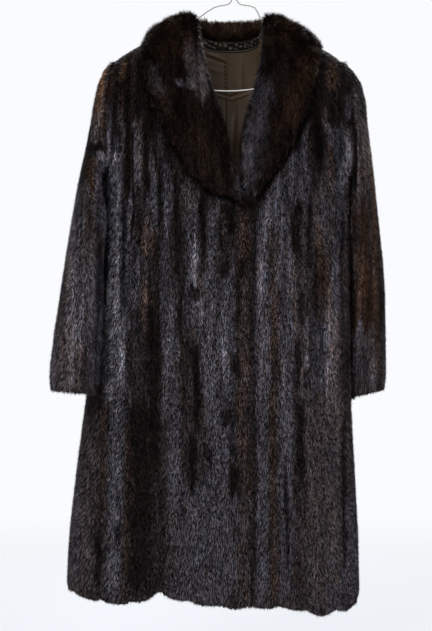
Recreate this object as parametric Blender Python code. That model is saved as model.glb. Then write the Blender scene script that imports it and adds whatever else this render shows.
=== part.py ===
"""A long fur coat with a shawl collar, hanging closed on a wire hanger.

Metres. X runs to the wearer's left, Y to the back and Z up. The origin is the
inner top of the hook, where a rail carries it. Front and back are named as the
wearer would name them, so the wearer's right front is at negative X.
"""
import math
from bisect import bisect_right
from collections import namedtuple

import bmesh
import bpy
from mathutils import Vector

# Walls and gaps
FUR_WALL = 0.009
SEAM_GAP = 0.0003
LINING_WALL = 0.001
LINING_GAP = 0.0012

# Body: a closed oval tube below the armpits, two domed panels above them
CHEST_Z = -0.33
ARMPIT_RISE = -0.10
DOME_SQUARE = 2.5
NORMAL_STEP = 0.01
HEM_RISE = -0.91
HEM_SCALLOP = 0.0025
PELT_WIDTH = 0.048
PELT_SEAM_X = -0.134
FOLD_FULL_SHARE = 0.71
LOWER_ROWS = 12

# Shoulder line
SHOULDER_CENTRE = -0.008
SHOULDER_NECK = 0.075
SHOULDER_NECK_Z = -0.113
SHOULDER_SLOPE = math.radians(29.4)
SHOULDER_ROUND_FROM = 0.19
SHOULDER_ROUNDING = 4.3
SHOULDER_TOP_SOFTNESS = 0.02

# Neck
NECK_SIDE_RIGHT = -0.083
NECK_SIDE_LEFT = 0.073
NECK_MIDDLE = (NECK_SIDE_RIGHT + NECK_SIDE_LEFT) / 2
NECK_BACK_DROP = 0.036
NECK_CURVE_SHARE = 2.6
NECK_CURVE_DEPTH = 0.6

# Fronts
OVER_EDGE_X = 0.037
UNDER_EDGE_X = -0.030
BREAK_Z = -0.487
OVERLAP_GAP = 0.0025
OVERLAP_SHADE = 0.012
OVERLAP_RUNOUT = 0.045
OVERLAP_TOP_Z = -0.38
OVERLAP_TOP_FADE = 0.08
FRONT_COLUMNS = 16
EDGE_READINGS = 25
PLACE_READINGS = 3
SHOULDER_COLUMNS = 8
NECK_COLUMNS = 10

# Collar
COLLAR_GAP = 0.0025
COLLAR_BACK_GAP = 0.0045
COLLAR_SHARES = [0.24, 0.43, 0.62, 0.81]
COLLAR_EDGE_THICK = 0.014
STAND_THICK = 0.012
STAND_GAP = 0.0056
STAND_LEAN = 0.010
STAND_HOLLOW = 0.005
ROLL_SHARE = 0.3
COLLAR_CORNER = 0.7
PROFILE_STEPS = 9

# Sleeves
SLEEVE_CLEARANCE = 0.004
SLEEVE_SQUARE = 2.2
ARMHOLE_FADE = 0.34

# Lining and neck trim
LINING_SHOULDER_GAP = 0.0042
LINING_SHOULDER_FROM = 0.055
LINING_SHOULDER_FADE = 0.02
LINING_LOOSE = 0.0075
LINING_LOOSE_Z = -0.24
LINING_LOOSE_FADE = 0.2
LINING_ROWS = [1, 3, 5, 7, 9, 11, 12, 13, 14, 15, 16, 17, 18, 19, 20, 21, 22]
LINING_COLUMNS = [0.205, 0.180, 0.148, 0.115, 0.081, 0.069, 0.055, 0.034]
LINING_TOP_DROP = 0.0206
LINING_SIDE_INSET = math.radians(12)
LINING_SHOULDER_RISE = 0.93
LINING_HEM_UP = 0.035
PLEAT_X = -0.0093
PLEAT_WIDTH = 0.022
PLEAT_DEPTH = 0.0022
PLEAT_STEP = 0.0015
PLEAT_FADE_Z = -0.30
PLEAT_FADE = 0.35
BAND_DROP = 0.0006
BAND_HEIGHT = 0.0150
BAND_WALL = 0.002
BAND_GAP = 0.0024
BAND_GATHER = 0.0011
BAND_REACH = 0.058
BAND_RUCHES = 11
BAND_GATHER_LEAN = 1.5
PIPING_RADIUS = 0.0015
PIPING_DROP = 0.0025
PIPING_STEPS = 22

# Hanger
WIRE_RADIUS = 0.0013
HOOK_RADIUS = 0.021
HOOK_START = 205
HOOK_END = -35
HOOK_STEPS = 20
STEM_X = 0.0043
STEM_TOP_Z = -0.047
STEM_BEND = (0.0045, -0.0385)
TWIST_TOP = -0.056
TWIST_FOOT = -0.074
TWIST_TURNS = 2.5
TWIST_SIDES = 10
NECK_BENDS = [(0.0047, -0.0800), (0.0125, -0.0885), (0.0400, -0.0950)]
ARM_START = 0.072
ARM_REACH = 0.192
ARM_STEPS = 6
TIP_RADIUS = 0.009
TIP_TURN = 150
TIP_STEPS = 5
BAR_MIDDLE_Z = -0.2574
BAR_STEPS = 8

# The oval of the body at each height: its two sides, its front and back, the
# depths of its two side seams and how square it is.
BodyLevel = namedtuple("BodyLevel", "z right left front back seam_right seam_left square")
BODY = [
    BodyLevel(-1.270, -0.3285, 0.2485, -0.098, 0.102, 0.046, -0.016, 2.7),
    BodyLevel(-1.130, -0.3216, 0.2460, -0.096, 0.100, 0.046, -0.018, 2.7),
    BodyLevel(-1.020, -0.3095, 0.2405, -0.094, 0.098, 0.046, -0.020, 2.7),
    BodyLevel(-0.850, -0.2875, 0.2315, -0.093, 0.096, 0.046, -0.022, 2.7),
    BodyLevel(-0.720, -0.2690, 0.2290, -0.092, 0.095, 0.044, -0.022, 2.7),
    BodyLevel(-0.600, -0.2580, 0.2285, -0.091, 0.094, 0.040, -0.020, 2.7),
    BodyLevel(-0.500, -0.2510, 0.2290, -0.090, 0.093, 0.032, -0.016, 2.8),
    BodyLevel(-0.430, -0.2485, 0.2315, -0.089, 0.092, 0.020, -0.010, 3.0),
    BodyLevel(-0.400, -0.2495, 0.2330, -0.088, 0.091, 0.012, -0.006, 3.2),
    BodyLevel(-0.370, -0.2500, 0.2340, -0.087, 0.090, 0.004, -0.002, 3.4),
    BodyLevel(-0.330, -0.2500, 0.2340, -0.085, 0.088, 0.000, 0.000, 3.5),
]

# The armholes: how far their front and back edges lie from the body's middle
# at each rise, where 0 is the chest and 1 the shoulder seam.
Armhole = namedtuple("Armhole", "rise front back")
ARMHOLE = [
    Armhole(-0.09, 0.2370, 0.2380),
    Armhole(-0.07, 0.2280, 0.2310),
    Armhole(-0.04, 0.2190, 0.2255),
    Armhole(0.00, 0.2145, 0.2220),
    Armhole(0.20, 0.2135, 0.2210),
    Armhole(0.40, 0.2145, 0.2215),
    Armhole(0.58, 0.2165, 0.2225),
    Armhole(0.74, 0.2195, 0.2240),
    Armhole(0.87, 0.2230, 0.2255),
    Armhole(1.00, 0.2265, 0.2265),
]

# The neck edge of the front that lies over, from the break of the lapel up.
NeckEdge = namedtuple("NeckEdge", "z x")
NECK_EDGE = [
    NeckEdge(-0.487, 0.0370),
    NeckEdge(-0.465, 0.0150),
    NeckEdge(-0.445, 0.0000),
    NeckEdge(-0.400, -0.0185),
    NeckEdge(-0.350, -0.0285),
    NeckEdge(-0.300, -0.0420),
    NeckEdge(-0.250, -0.0600),
    NeckEdge(-0.200, -0.0705),
    NeckEdge(-0.150, -0.0785),
    NeckEdge(-0.117, -0.0830),
]

# Where the fronts' middle lies, from the break up to the neck.
Middle = namedtuple("Middle", "z x")
FRONT_MIDDLE = [
    Middle(-0.487, 0.0035),
    Middle(-0.260, 0.0020),
    Middle(-0.180, -0.0010),
    Middle(-0.117, -0.0050),
]

# The hem's height along the front, and the little scallops between the pelts.
HemPoint = namedtuple("HemPoint", "x z")
FRONT_HEM = [
    HemPoint(-0.3285, -1.226),
    HemPoint(-0.2930, -1.232),
    HemPoint(-0.2326, -1.241),
    HemPoint(-0.1946, -1.240),
    HemPoint(-0.1640, -1.232),
    HemPoint(-0.1338, -1.222),
    HemPoint(-0.1050, -1.231),
    HemPoint(-0.0500, -1.242),
    HemPoint(0.0000, -1.246),
    HemPoint(0.0600, -1.247),
    HemPoint(0.1094, -1.248),
    HemPoint(0.1664, -1.262),
    HemPoint(0.2180, -1.256),
    HemPoint(0.2485, -1.236),
]
BACK_HEM = [
    HemPoint(-0.3285, -1.226),
    HemPoint(-0.2400, -1.238),
    HemPoint(-0.0400, -1.240),
    HemPoint(0.1600, -1.244),
    HemPoint(0.2485, -1.236),
]

# Long soft folds, as far in as depth at the hem end and fading out at the top.
Fold = namedtuple("Fold", "side top_x top_z foot_x width depth")
FOLDS = [
    Fold("front", -0.1460, -0.560, -0.1350, 0.085, 0.015),
    Fold("front", -0.2300, -0.760, -0.2450, 0.070, 0.006),
    Fold("front", -0.0760, -0.500, -0.0740, 0.060, 0.004),
    Fold("front", 0.1230, -0.640, 0.1200, 0.085, 0.007),
    Fold("front", 0.1900, -0.800, 0.1980, 0.060, 0.004),
    Fold("back", -0.1900, -0.560, -0.2150, 0.110, 0.012),
    Fold("back", -0.0700, -0.480, -0.0800, 0.100, 0.010),
    Fold("back", 0.0500, -0.480, 0.0480, 0.100, 0.010),
    Fold("back", 0.1500, -0.560, 0.1600, 0.090, 0.010),
]

# Lapels: the roll where the collar turns, its outer edge, its thickness, and
# how far its stand reaches back past the front's neck edge.
Lapel = namedtuple("Lapel", "roll_x roll_z edge_x edge_z thick lip")
LAPEL_OVER = [
    Lapel(0.0340, -0.4870, 0.0230, -0.4790, 0.009, -0.0045),
    Lapel(0.0270, -0.4700, -0.0080, -0.4620, 0.013, -0.006),
    Lapel(0.0205, -0.4520, -0.0500, -0.4530, 0.017, -0.005),
    Lapel(0.0125, -0.4260, -0.0810, -0.4220, 0.020, 0.001),
    Lapel(0.0022, -0.3882, -0.1020, -0.3800, 0.021, 0.003),
    Lapel(-0.0065, -0.3483, -0.1235, -0.3430, 0.021, 0.005),
    Lapel(-0.0198, -0.3027, -0.1440, -0.3050, 0.021, 0.006),
    Lapel(-0.0370, -0.2560, -0.1600, -0.2700, 0.021, 0.006),
    Lapel(-0.0470, -0.2120, -0.1690, -0.2320, 0.021, 0.006),
    Lapel(-0.0565, -0.1660, -0.1760, -0.1980, 0.022, 0.005),
]
LAPEL_UNDER = [
    Lapel(0.0530, -0.1660, 0.1690, -0.1980, 0.022, 0.005),
    Lapel(0.0485, -0.2120, 0.1620, -0.2320, 0.021, 0.006),
    Lapel(0.0410, -0.2560, 0.1540, -0.2700, 0.021, 0.006),
    Lapel(0.0270, -0.3020, 0.1410, -0.3080, 0.021, 0.006),
    Lapel(0.0130, -0.3400, 0.1230, -0.3480, 0.021, 0.003),
    Lapel(0.0075, -0.3720, 0.1080, -0.3800, 0.020, -0.004),
    Lapel(0.0085, -0.3980, 0.0930, -0.4030, 0.019, -0.008),
    Lapel(0.0165, -0.4260, 0.0760, -0.4270, 0.017, -0.008),
    Lapel(0.0250, -0.4500, 0.0590, -0.4470, 0.014, -0.007),
    Lapel(0.0330, -0.4700, 0.0450, -0.4640, 0.011, -0.005),
    Lapel(0.0375, -0.4790, 0.0410, -0.4745, 0.008, -0.004),
]

# The collar over the shoulders, at rises from the front over the seam to the
# back: where it starts beside the neck, and its outer edge, both measured from
# the neck's middle.
ShoulderCollar = namedtuple("ShoulderCollar", "rise start edge lip")
SHOULDER_COLLAR = [
    ShoulderCollar(0.72, 0.0560, 0.1715, 0.003),
    ShoulderCollar(0.84, 0.0630, 0.1730, -0.002),
    ShoulderCollar(0.93, 0.0700, 0.1745, -0.008),
    ShoulderCollar(1.00, 0.0745, 0.1750, -0.010),
    ShoulderCollar(1.08, 0.0750, 0.1750, -0.010),
    ShoulderCollar(1.18, 0.0745, 0.1735, -0.010),
    ShoulderCollar(1.28, 0.0730, 0.1705, -0.009),
]
COLLAR_THICK = 0.020

# The collar behind the neck: the neck edge, the top of the roll, and the outer
# edge, from the neck's middle to one side.
BackCollar = namedtuple("BackCollar", "neck top_z edge edge_z")
BACK_COLLAR = [
    BackCollar(0.0000, -0.1140, 0.0000, -0.2350),
    BackCollar(0.0330, -0.1130, 0.0660, -0.2330),
    BackCollar(0.0540, -0.1110, 0.1130, -0.2280),
    BackCollar(0.0640, -0.1090, 0.1450, -0.2165),
]

# Sleeves: the outer and the inner line in front view, and the oval's depth.
SleeveRing = namedtuple("SleeveRing", "outer_x outer_z inner_x inner_z middle_y half_depth")
SLEEVE_RIGHT = [
    SleeveRing(-0.2480, -0.2130, -0.2500, -0.4330, 0.003, 0.069),
    SleeveRing(-0.2610, -0.2420, -0.2510, -0.4450, 0.000, 0.074),
    SleeveRing(-0.2680, -0.2760, -0.2490, -0.4600, -0.005, 0.080),
    SleeveRing(-0.2740, -0.3180, -0.2450, -0.4770, -0.011, 0.084),
    SleeveRing(-0.2840, -0.3720, -0.2390, -0.4950, -0.019, 0.086),
    SleeveRing(-0.2970, -0.4350, -0.2350, -0.5200, -0.028, 0.086),
    SleeveRing(-0.3090, -0.5050, -0.2380, -0.5550, -0.037, 0.084),
    SleeveRing(-0.3205, -0.5800, -0.2438, -0.6050, -0.045, 0.080),
    SleeveRing(-0.3305, -0.6500, -0.2462, -0.6650, -0.051, 0.075),
    SleeveRing(-0.3415, -0.7200, -0.2481, -0.7280, -0.056, 0.070),
    SleeveRing(-0.3495, -0.7830, -0.2495, -0.7900, -0.059, 0.065),
    SleeveRing(-0.3520, -0.8350, -0.2508, -0.8440, -0.060, 0.061),
]
SLEEVE_LEFT = [
    SleeveRing(0.2320, -0.2130, 0.2340, -0.4330, 0.007, 0.069),
    SleeveRing(0.2450, -0.2420, 0.2330, -0.4450, 0.010, 0.074),
    SleeveRing(0.2540, -0.2760, 0.2300, -0.4600, 0.015, 0.080),
    SleeveRing(0.2640, -0.3180, 0.2250, -0.4770, 0.021, 0.084),
    SleeveRing(0.2730, -0.3720, 0.2180, -0.4950, 0.028, 0.086),
    SleeveRing(0.2800, -0.4350, 0.2120, -0.5200, 0.035, 0.086),
    SleeveRing(0.2860, -0.5050, 0.2100, -0.5550, 0.041, 0.084),
    SleeveRing(0.2930, -0.5800, 0.2090, -0.6050, 0.046, 0.080),
    SleeveRing(0.2980, -0.6500, 0.2080, -0.6650, 0.050, 0.075),
    SleeveRing(0.3020, -0.7200, 0.2070, -0.7280, 0.053, 0.070),
    SleeveRing(0.3045, -0.7830, 0.2065, -0.7920, 0.055, 0.065),
    SleeveRing(0.3050, -0.8350, 0.2070, -0.8500, 0.055, 0.061),
]

# Colours and finishes
FUR_COLOUR = (0.030, 0.018, 0.013)
FUR_ROUGHNESS = 0.55
SATIN_COLOUR = (0.115, 0.088, 0.058)
SATIN_ROUGHNESS = 0.35
WIRE_COLOUR = (0.80, 0.80, 0.78)
WIRE_ROUGHNESS = 0.35


def clear_scene():
    for thing in list(bpy.data.objects):
        bpy.data.objects.remove(thing, do_unlink=True)


def make_material(name, colour, roughness):
    material = bpy.data.materials.new(name)
    material.use_nodes = True
    shader = material.node_tree.nodes["Principled BSDF"]
    shader.inputs["Base Color"].default_value = (*colour, 1.0)
    shader.inputs["Roughness"].default_value = roughness
    shader.inputs["Metallic"].default_value = 0.0
    return material


# ---- numbers ----------------------------------------------------------------

def mix(start, end, share):
    return start + (end - start) * share


def smooth_step(share):
    share = min(max(share, 0.0), 1.0)
    return share * share * (3 - 2 * share)


def signed_power(value, power):
    return math.copysign(abs(value) ** power, value)


def steady_slope(keys, values, place):
    """Slope of a smooth curve at one row, which never overshoots its rows."""
    if place == 0 or place == len(keys) - 1:
        near = min(place, len(keys) - 2)
        return (values[near + 1] - values[near]) / (keys[near + 1] - keys[near])
    before = (values[place] - values[place - 1]) / (keys[place] - keys[place - 1])
    after = (values[place + 1] - values[place]) / (keys[place + 1] - keys[place])
    if before * after <= 0:
        return 0.0
    return 2 * before * after / (before + after)


def reading(table, column, key):
    """Smooth value of a column at a key, which is the table's first column."""
    keys = [row[0] for row in table]
    values = [getattr(row, column) for row in table]
    if key <= keys[0]:
        return values[0]
    if key >= keys[-1]:
        return values[-1]
    place = bisect_right(keys, key) - 1
    span = keys[place + 1] - keys[place]
    share = (key - keys[place]) / span
    slope_in = steady_slope(keys, values, place) * span
    slope_out = steady_slope(keys, values, place + 1) * span
    rest = 1 - share
    ends = values[place] * (1 + 2 * share) * rest ** 2 + values[place + 1] * (3 - 2 * share) * share ** 2
    return ends + slope_in * share * rest ** 2 - slope_out * rest * share ** 2


def curve_through(points, steps):
    """Points of a smooth curve through all the given ones, steps to a span."""
    padded = [points[0] * 2 - points[1], *points, points[-1] * 2 - points[-2]]
    found = []
    for place in range(1, len(padded) - 2):
        before, start, end, after = padded[place - 1:place + 3]
        for step in range(steps):
            share = step / steps
            bend = (end - before) * 0.5 * share
            bend += (before * 2 - start * 5 + end * 4 - after) * 0.5 * share ** 2
            bend += (start * 3 - end * 3 + after - before) * 0.5 * share ** 3
            found.append(start + bend)
    found.append(points[-1].copy())
    return found


def even_points(points, count):
    """The given number of points, evenly spaced along a polyline."""
    lengths = [0.0]
    for start, end in zip(points, points[1:]):
        lengths.append(lengths[-1] + (end - start).length)
    found = []
    for number in range(count):
        along = lengths[-1] * number / (count - 1)
        place = min(bisect_right(lengths, along), len(points) - 1) - 1
        span = lengths[place + 1] - lengths[place]
        found.append(points[place].lerp(points[place + 1], (along - lengths[place]) / span))
    return found


# ---- the body's form --------------------------------------------------------

def shoulder_height(x):
    away = math.hypot(x - SHOULDER_CENTRE, SHOULDER_TOP_SOFTNESS) - SHOULDER_TOP_SOFTNESS ** 2
    height = SHOULDER_NECK_Z - (away - SHOULDER_NECK) * math.tan(SHOULDER_SLOPE)
    beyond = max(away - SHOULDER_ROUND_FROM, 0.0)
    return height - SHOULDER_ROUNDING * beyond ** 2


def body_point(turn, rise):
    """A point of the coat's outside, before its folds.

    The turn goes from 0 at the right side seam over the front to pi at the
    left side seam, and back behind the body as a negative turn. The rise is a
    height under the chest in metres. Above the chest 1 is the shoulder seam,
    and more than 1 goes on down the other side.
    """
    z = CHEST_Z + min(rise, 0.0)
    square = reading(BODY, "square", z)
    right = reading(BODY, "right", z)
    left = reading(BODY, "left", z)
    across = signed_power(-math.cos(turn), 2 / square)
    deep = signed_power(math.sin(turn), 2 / square)
    x = mix(right, left, (across + 1) / 2)
    seam = mix(reading(BODY, "seam_right", z), reading(BODY, "seam_left", z), (across + 1) / 2)
    if rise > 0:
        climb = rise * math.pi / 2
        z += (shoulder_height(x) - CHEST_Z) * signed_power(math.sin(climb), 2 / DOME_SQUARE)
        deep *= signed_power(math.cos(climb), 2 / DOME_SQUARE)
    face = reading(BODY, "front" if deep >= 0 else "back", CHEST_Z + min(rise, 0.0))
    return Vector((x, seam + (face - seam) * abs(deep), z))


def body_normal(turn, rise):
    """The way out of the coat at a point of its outside."""
    around = body_point(turn + NORMAL_STEP, rise) - body_point(turn - NORMAL_STEP, rise)
    upward = body_point(turn, rise + NORMAL_STEP) - body_point(turn, rise - NORMAL_STEP)
    return around.cross(upward).normalized()


def turn_at(x, rise, back=False):
    """The turn whose point has this x."""
    z = CHEST_Z + min(rise, 0.0)
    right = reading(BODY, "right", z)
    left = reading(BODY, "left", z)
    across = min(max((2 * x - right - left) / (left - right), -1.0), 1.0)
    turn = math.acos(-signed_power(across, reading(BODY, "square", z) / 2))
    return -turn if back else turn


def rise_at(x, z):
    """The rise whose point over this x has this height."""
    if z <= CHEST_Z:
        return z - CHEST_Z
    share = min((z - CHEST_Z) / (shoulder_height(x) - CHEST_Z), 1.0)
    return math.asin(share ** (DOME_SQUARE / 2)) * 2 / math.pi


def on_body(x, z, lift, back=False):
    """A point lifted off the coat's outside, over this x and height."""
    rise = rise_at(x, z)
    turn = turn_at(x, rise, back)
    return body_point(turn, rise) + body_normal(turn, rise) * lift


def fold_depth(x, z, side):
    """How far the folds take the cloth in at a place."""
    depth = 0.0
    for fold in FOLDS:
        if fold.side != side or z > fold.top_z:
            continue
        down = (fold.top_z - z) / (fold.top_z - CHEST_Z - HEM_RISE)
        middle = mix(fold.top_x, fold.foot_x, down)
        away = abs(x - middle) / (fold.width / 2)
        if away < 1:
            depth += fold.depth * smooth_step(down / FOLD_FULL_SHARE) * math.cos(away * math.pi / 2) ** 2
    return depth


def hem_rise(x, side):
    """The hem's rise, with a shallow scallop for each pelt."""
    height = reading(FRONT_HEM if side == "front" else BACK_HEM, "z", x)
    scallop = HEM_SCALLOP * abs(math.sin((x - PELT_SEAM_X) * math.pi / PELT_WIDTH))
    return height - scallop - CHEST_Z


def armhole_turn(rise, side, right_arm):
    """The turn of the armhole's edge at a rise; under the armpit, the side seam's."""
    back = side == "back"
    if rise <= ARMPIT_RISE + 1e-6:
        turn = 0.0 if right_arm else math.pi
        return -turn if back else turn
    z = CHEST_Z + min(rise, 0.0)
    middle = (reading(BODY, "right", z) + reading(BODY, "left", z)) / 2
    away = reading(ARMHOLE, side, rise)
    return turn_at(middle - away if right_arm else middle + away, rise, back)


# Rises of the rows above the armpit
UPPER_RISES = [ARMPIT_RISE, -0.09, -0.07, -0.04, 0.0, 0.20, 0.40, 0.58, 0.74, 0.87, 1.0]


def row_rise(row, x, side):
    """The rise of a row at this x, with row 0 on the hem."""
    if row < LOWER_ROWS:
        return mix(hem_rise(x, side), ARMPIT_RISE, row / LOWER_ROWS)
    return UPPER_RISES[row - LOWER_ROWS]


# ---- solids -----------------------------------------------------------------

def finish_object(name, mesh, material):
    thing = bpy.data.objects.new(name, mesh)
    bpy.context.scene.collection.objects.link(thing)
    thing.data.materials.append(material)
    return thing


def mesh_object(name, shape, material):
    """An object from a bmesh, facing out and shaded smooth."""
    bmesh.ops.triangulate(shape, faces=[face for face in shape.faces if len(face.verts) > 4])
    bmesh.ops.recalc_face_normals(shape, faces=shape.faces)
    mesh = bpy.data.meshes.new(name)
    shape.to_mesh(mesh)
    shape.free()
    mesh.shade_smooth()
    return finish_object(name, mesh, material)


def add_grid(shape, rows):
    return [[shape.verts.new(point) for point in row] for row in rows]


def join_rows(shape, first, second, around=False):
    count = len(first)
    for place in range(count if around else count - 1):
        following = (place + 1) % count
        shape.faces.new((first[place], first[following], second[following], second[place]))


def wall_panel(name, outside, inside, material):
    """A closed wall between two grids of points, with square edges."""
    shape = bmesh.new()
    outer = add_grid(shape, outside)
    inner = add_grid(shape, inside)
    for grid in (outer, inner):
        for first, second in zip(grid, grid[1:]):
            join_rows(shape, first, second)
    join_rows(shape, outer[0], inner[0])
    join_rows(shape, outer[-1], inner[-1])
    join_rows(shape, [row[0] for row in outer], [row[0] for row in inner])
    join_rows(shape, [row[-1] for row in outer], [row[-1] for row in inner])
    return mesh_object(name, shape, material)


def wall_tube(name, outside, inside, material):
    """A closed wall between two tubes of rings, open at both ends."""
    shape = bmesh.new()
    outer = add_grid(shape, outside)
    inner = add_grid(shape, inside)
    for grid in (outer, inner):
        for first, second in zip(grid, grid[1:]):
            join_rows(shape, first, second, around=True)
    join_rows(shape, outer[0], inner[0], around=True)
    join_rows(shape, outer[-1], inner[-1], around=True)
    return mesh_object(name, shape, material)


def swept_solid(name, loops, material):
    """A solid through a row of closed outlines, capped at both ends."""
    shape = bmesh.new()
    rings = add_grid(shape, loops)
    for first, second in zip(rings, rings[1:]):
        join_rows(shape, first, second, around=True)
    shape.faces.new(rings[0])
    shape.faces.new(rings[-1])
    return mesh_object(name, shape, material)


def wire_object(name, points, radius, material):
    """A round wire through points, with closed ends."""
    curve = bpy.data.curves.new(name, "CURVE")
    curve.dimensions = "3D"
    curve.bevel_depth = radius
    curve.bevel_resolution = 1
    curve.use_fill_caps = True
    spline = curve.splines.new("POLY")
    spline.points.add(len(points) - 1)
    for spot, point in zip(spline.points, points):
        spot.co = (*point, 1.0)
    return finish_object(name, curve, material)


# ---- fur panels -------------------------------------------------------------

def edge_x(z, over):
    """The front edge and, above the break, the neck edge of one front."""
    if z <= BREAK_Z:
        return OVER_EDGE_X if over else UNDER_EDGE_X
    edge = reading(NECK_EDGE, "x", z)
    return edge if over else 2 * reading(FRONT_MIDDLE, "x", z) - edge


def edge_turn(rise, over):
    """The turn of a front's inner edge at a rise, found by repeated reading."""
    x = UNDER_EDGE_X if over else -UNDER_EDGE_X
    for _ in range(EDGE_READINGS):
        turn = turn_at(x, rise)
        z = body_point(turn, rise).z
        x = mix(x, edge_x(z, over), 0.5)
    return turn_at(x, rise)


def overlap_inset(x, z):
    """How far the front underneath is set in, to lie behind the other one."""
    out_of_overlap = (x - OVER_EDGE_X - OVERLAP_SHADE) / OVERLAP_RUNOUT
    above_overlap = (z - OVERLAP_TOP_Z) / OVERLAP_TOP_FADE
    return (FUR_WALL + OVERLAP_GAP) * (1 - smooth_step(out_of_overlap)) * (1 - smooth_step(above_overlap))


def build_front(name, over, material):
    """One front, from its side seam to its front edge and up to the shoulder."""
    outside = []
    inside = []
    for row in range(LOWER_ROWS + len(UPPER_RISES)):
        outer_row = []
        inner_row = []
        for column in range(FRONT_COLUMNS + 1):
            share = column / FRONT_COLUMNS
            rise = row_rise(row, 0.0, "front")
            for _ in range(PLACE_READINGS):
                start = armhole_turn(rise, "front", right_arm=over)
                turn = mix(start, edge_turn(rise, over), share)
                rise = row_rise(row, body_point(turn, rise).x, "front")
            point = body_point(turn, rise)
            normal = body_normal(turn, rise)
            depth = fold_depth(point.x, point.z, "front")
            if not over:
                depth += overlap_inset(point.x, point.z)
            point -= normal * depth
            point.y -= SEAM_GAP / 2
            outer_row.append(point)
            inner_row.append(point - normal * FUR_WALL)
        outside.append(outer_row)
        inside.append(inner_row)
    return wall_panel(name, outside, inside, material)


def back_neck_rise(x, drop=0.0):
    """The rise of the back's neck edge, or of the shoulder seam beside it."""
    share = abs(x - NECK_MIDDLE) / (NECK_SIDE_LEFT - NECK_MIDDLE)
    if share >= 1:
        return 1.0
    side_height = shoulder_height(NECK_SIDE_RIGHT)
    scoop = (1 - share ** NECK_CURVE_SHARE) ** NECK_CURVE_DEPTH
    return rise_at(x, side_height - NECK_BACK_DROP * scoop - drop)


def back_shares():
    """Shares of the way over the back, with a column at each end of the neck."""
    start = armhole_turn(1.0, "back", right_arm=True)
    end = armhole_turn(1.0, "back", right_arm=False)
    neck_start = (turn_at(NECK_SIDE_RIGHT, 1.0, back=True) - start) / (end - start)
    neck_end = (turn_at(NECK_SIDE_LEFT, 1.0, back=True) - start) / (end - start)
    shares = [neck_start * step / SHOULDER_COLUMNS for step in range(SHOULDER_COLUMNS)]
    shares += [mix(neck_start, neck_end, step / NECK_COLUMNS) for step in range(NECK_COLUMNS)]
    shares += [mix(neck_end, 1.0, step / SHOULDER_COLUMNS) for step in range(SHOULDER_COLUMNS + 1)]
    return shares


def back_place(row, share):
    """The turn and rise of a place on the back, and its point before folds."""
    rise = row_rise(row, 0.0, "back")
    for _ in range(PLACE_READINGS):
        start = armhole_turn(rise, "back", right_arm=True)
        end = armhole_turn(rise, "back", right_arm=False)
        turn = mix(start, end, share)
        rise = row_rise(row, body_point(turn, rise).x, "back")
    if rise > 0:
        rise *= back_neck_rise(body_point(turn, 0.0).x)
    return turn, rise


def build_back(material):
    outside = []
    inside = []
    for row in range(LOWER_ROWS + len(UPPER_RISES)):
        outer_row = []
        inner_row = []
        for share in back_shares():
            turn, rise = back_place(row, share)
            point = body_point(turn, rise)
            normal = body_normal(turn, rise)
            point -= normal * fold_depth(point.x, point.z, "back")
            point.y += SEAM_GAP / 2
            outer_row.append(point)
            inner_row.append(point - normal * FUR_WALL)
        outside.append(outer_row)
        inside.append(inner_row)
    return wall_panel("back", outside, inside, material)


# ---- sleeves ----------------------------------------------------------------

def armhole_ring(right_arm):
    """The armhole's outline from the shoulder down its front and up its back."""
    ring = []
    for rise in reversed(UPPER_RISES):
        ring.append(body_point(armhole_turn(rise, "front", right_arm), rise))
    for rise in UPPER_RISES[1:-1]:
        ring.append(body_point(armhole_turn(rise, "back", right_arm), rise))
    return ring


def oval_ring(row, angles):
    """One ring of a sleeve, at the angles from its outer line over the front."""
    outer = Vector((row.outer_x, row.middle_y, row.outer_z))
    inner = Vector((row.inner_x, row.middle_y, row.inner_z))
    centre = (outer + inner) / 2
    ring = []
    for angle in angles:
        along = signed_power(math.cos(angle), 2 / SLEEVE_SQUARE)
        ahead = signed_power(math.sin(angle), 2 / SLEEVE_SQUARE)
        ring.append(centre + (outer - centre) * along - Vector((0, row.half_depth * ahead, 0)))
    return ring


def clear_of_body(point):
    """The point, moved out where it would lie in or too near the body."""
    if point.z > CHEST_Z + ARMPIT_RISE:
        return point
    right = reading(BODY, "right", point.z)
    left = reading(BODY, "left", point.z)
    square = reading(BODY, "square", point.z)
    across = (2 * point.x - right - left) / (left - right)
    share = min(max((across + 1) / 2, 0.0), 1.0)
    seam = mix(reading(BODY, "seam_right", point.z), reading(BODY, "seam_left", point.z), share)
    face = reading(BODY, "front" if point.y < seam else "back", point.z)
    deep = (point.y - seam) / (face - seam)
    size = (abs(across) ** square + abs(deep) ** square) ** (1 / square)
    offset = Vector((across * (left - right) / 2, deep * (face - seam), 0))
    wanted = 1 + SLEEVE_CLEARANCE / offset.length
    if size >= wanted:
        return point
    return point + offset * (wanted / size - 1)


def ring_normals(rings):
    """The way out at each point of a tube of rings."""
    normals = []
    for place, ring in enumerate(rings):
        above = rings[max(place - 1, 0)]
        below = rings[min(place + 1, len(rings) - 1)]
        row = []
        for spot in range(len(ring)):
            around = ring[(spot + 1) % len(ring)] - ring[spot - 1]
            row.append((below[spot] - above[spot]).cross(around).normalized())
        normals.append(row)
    return normals


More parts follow.
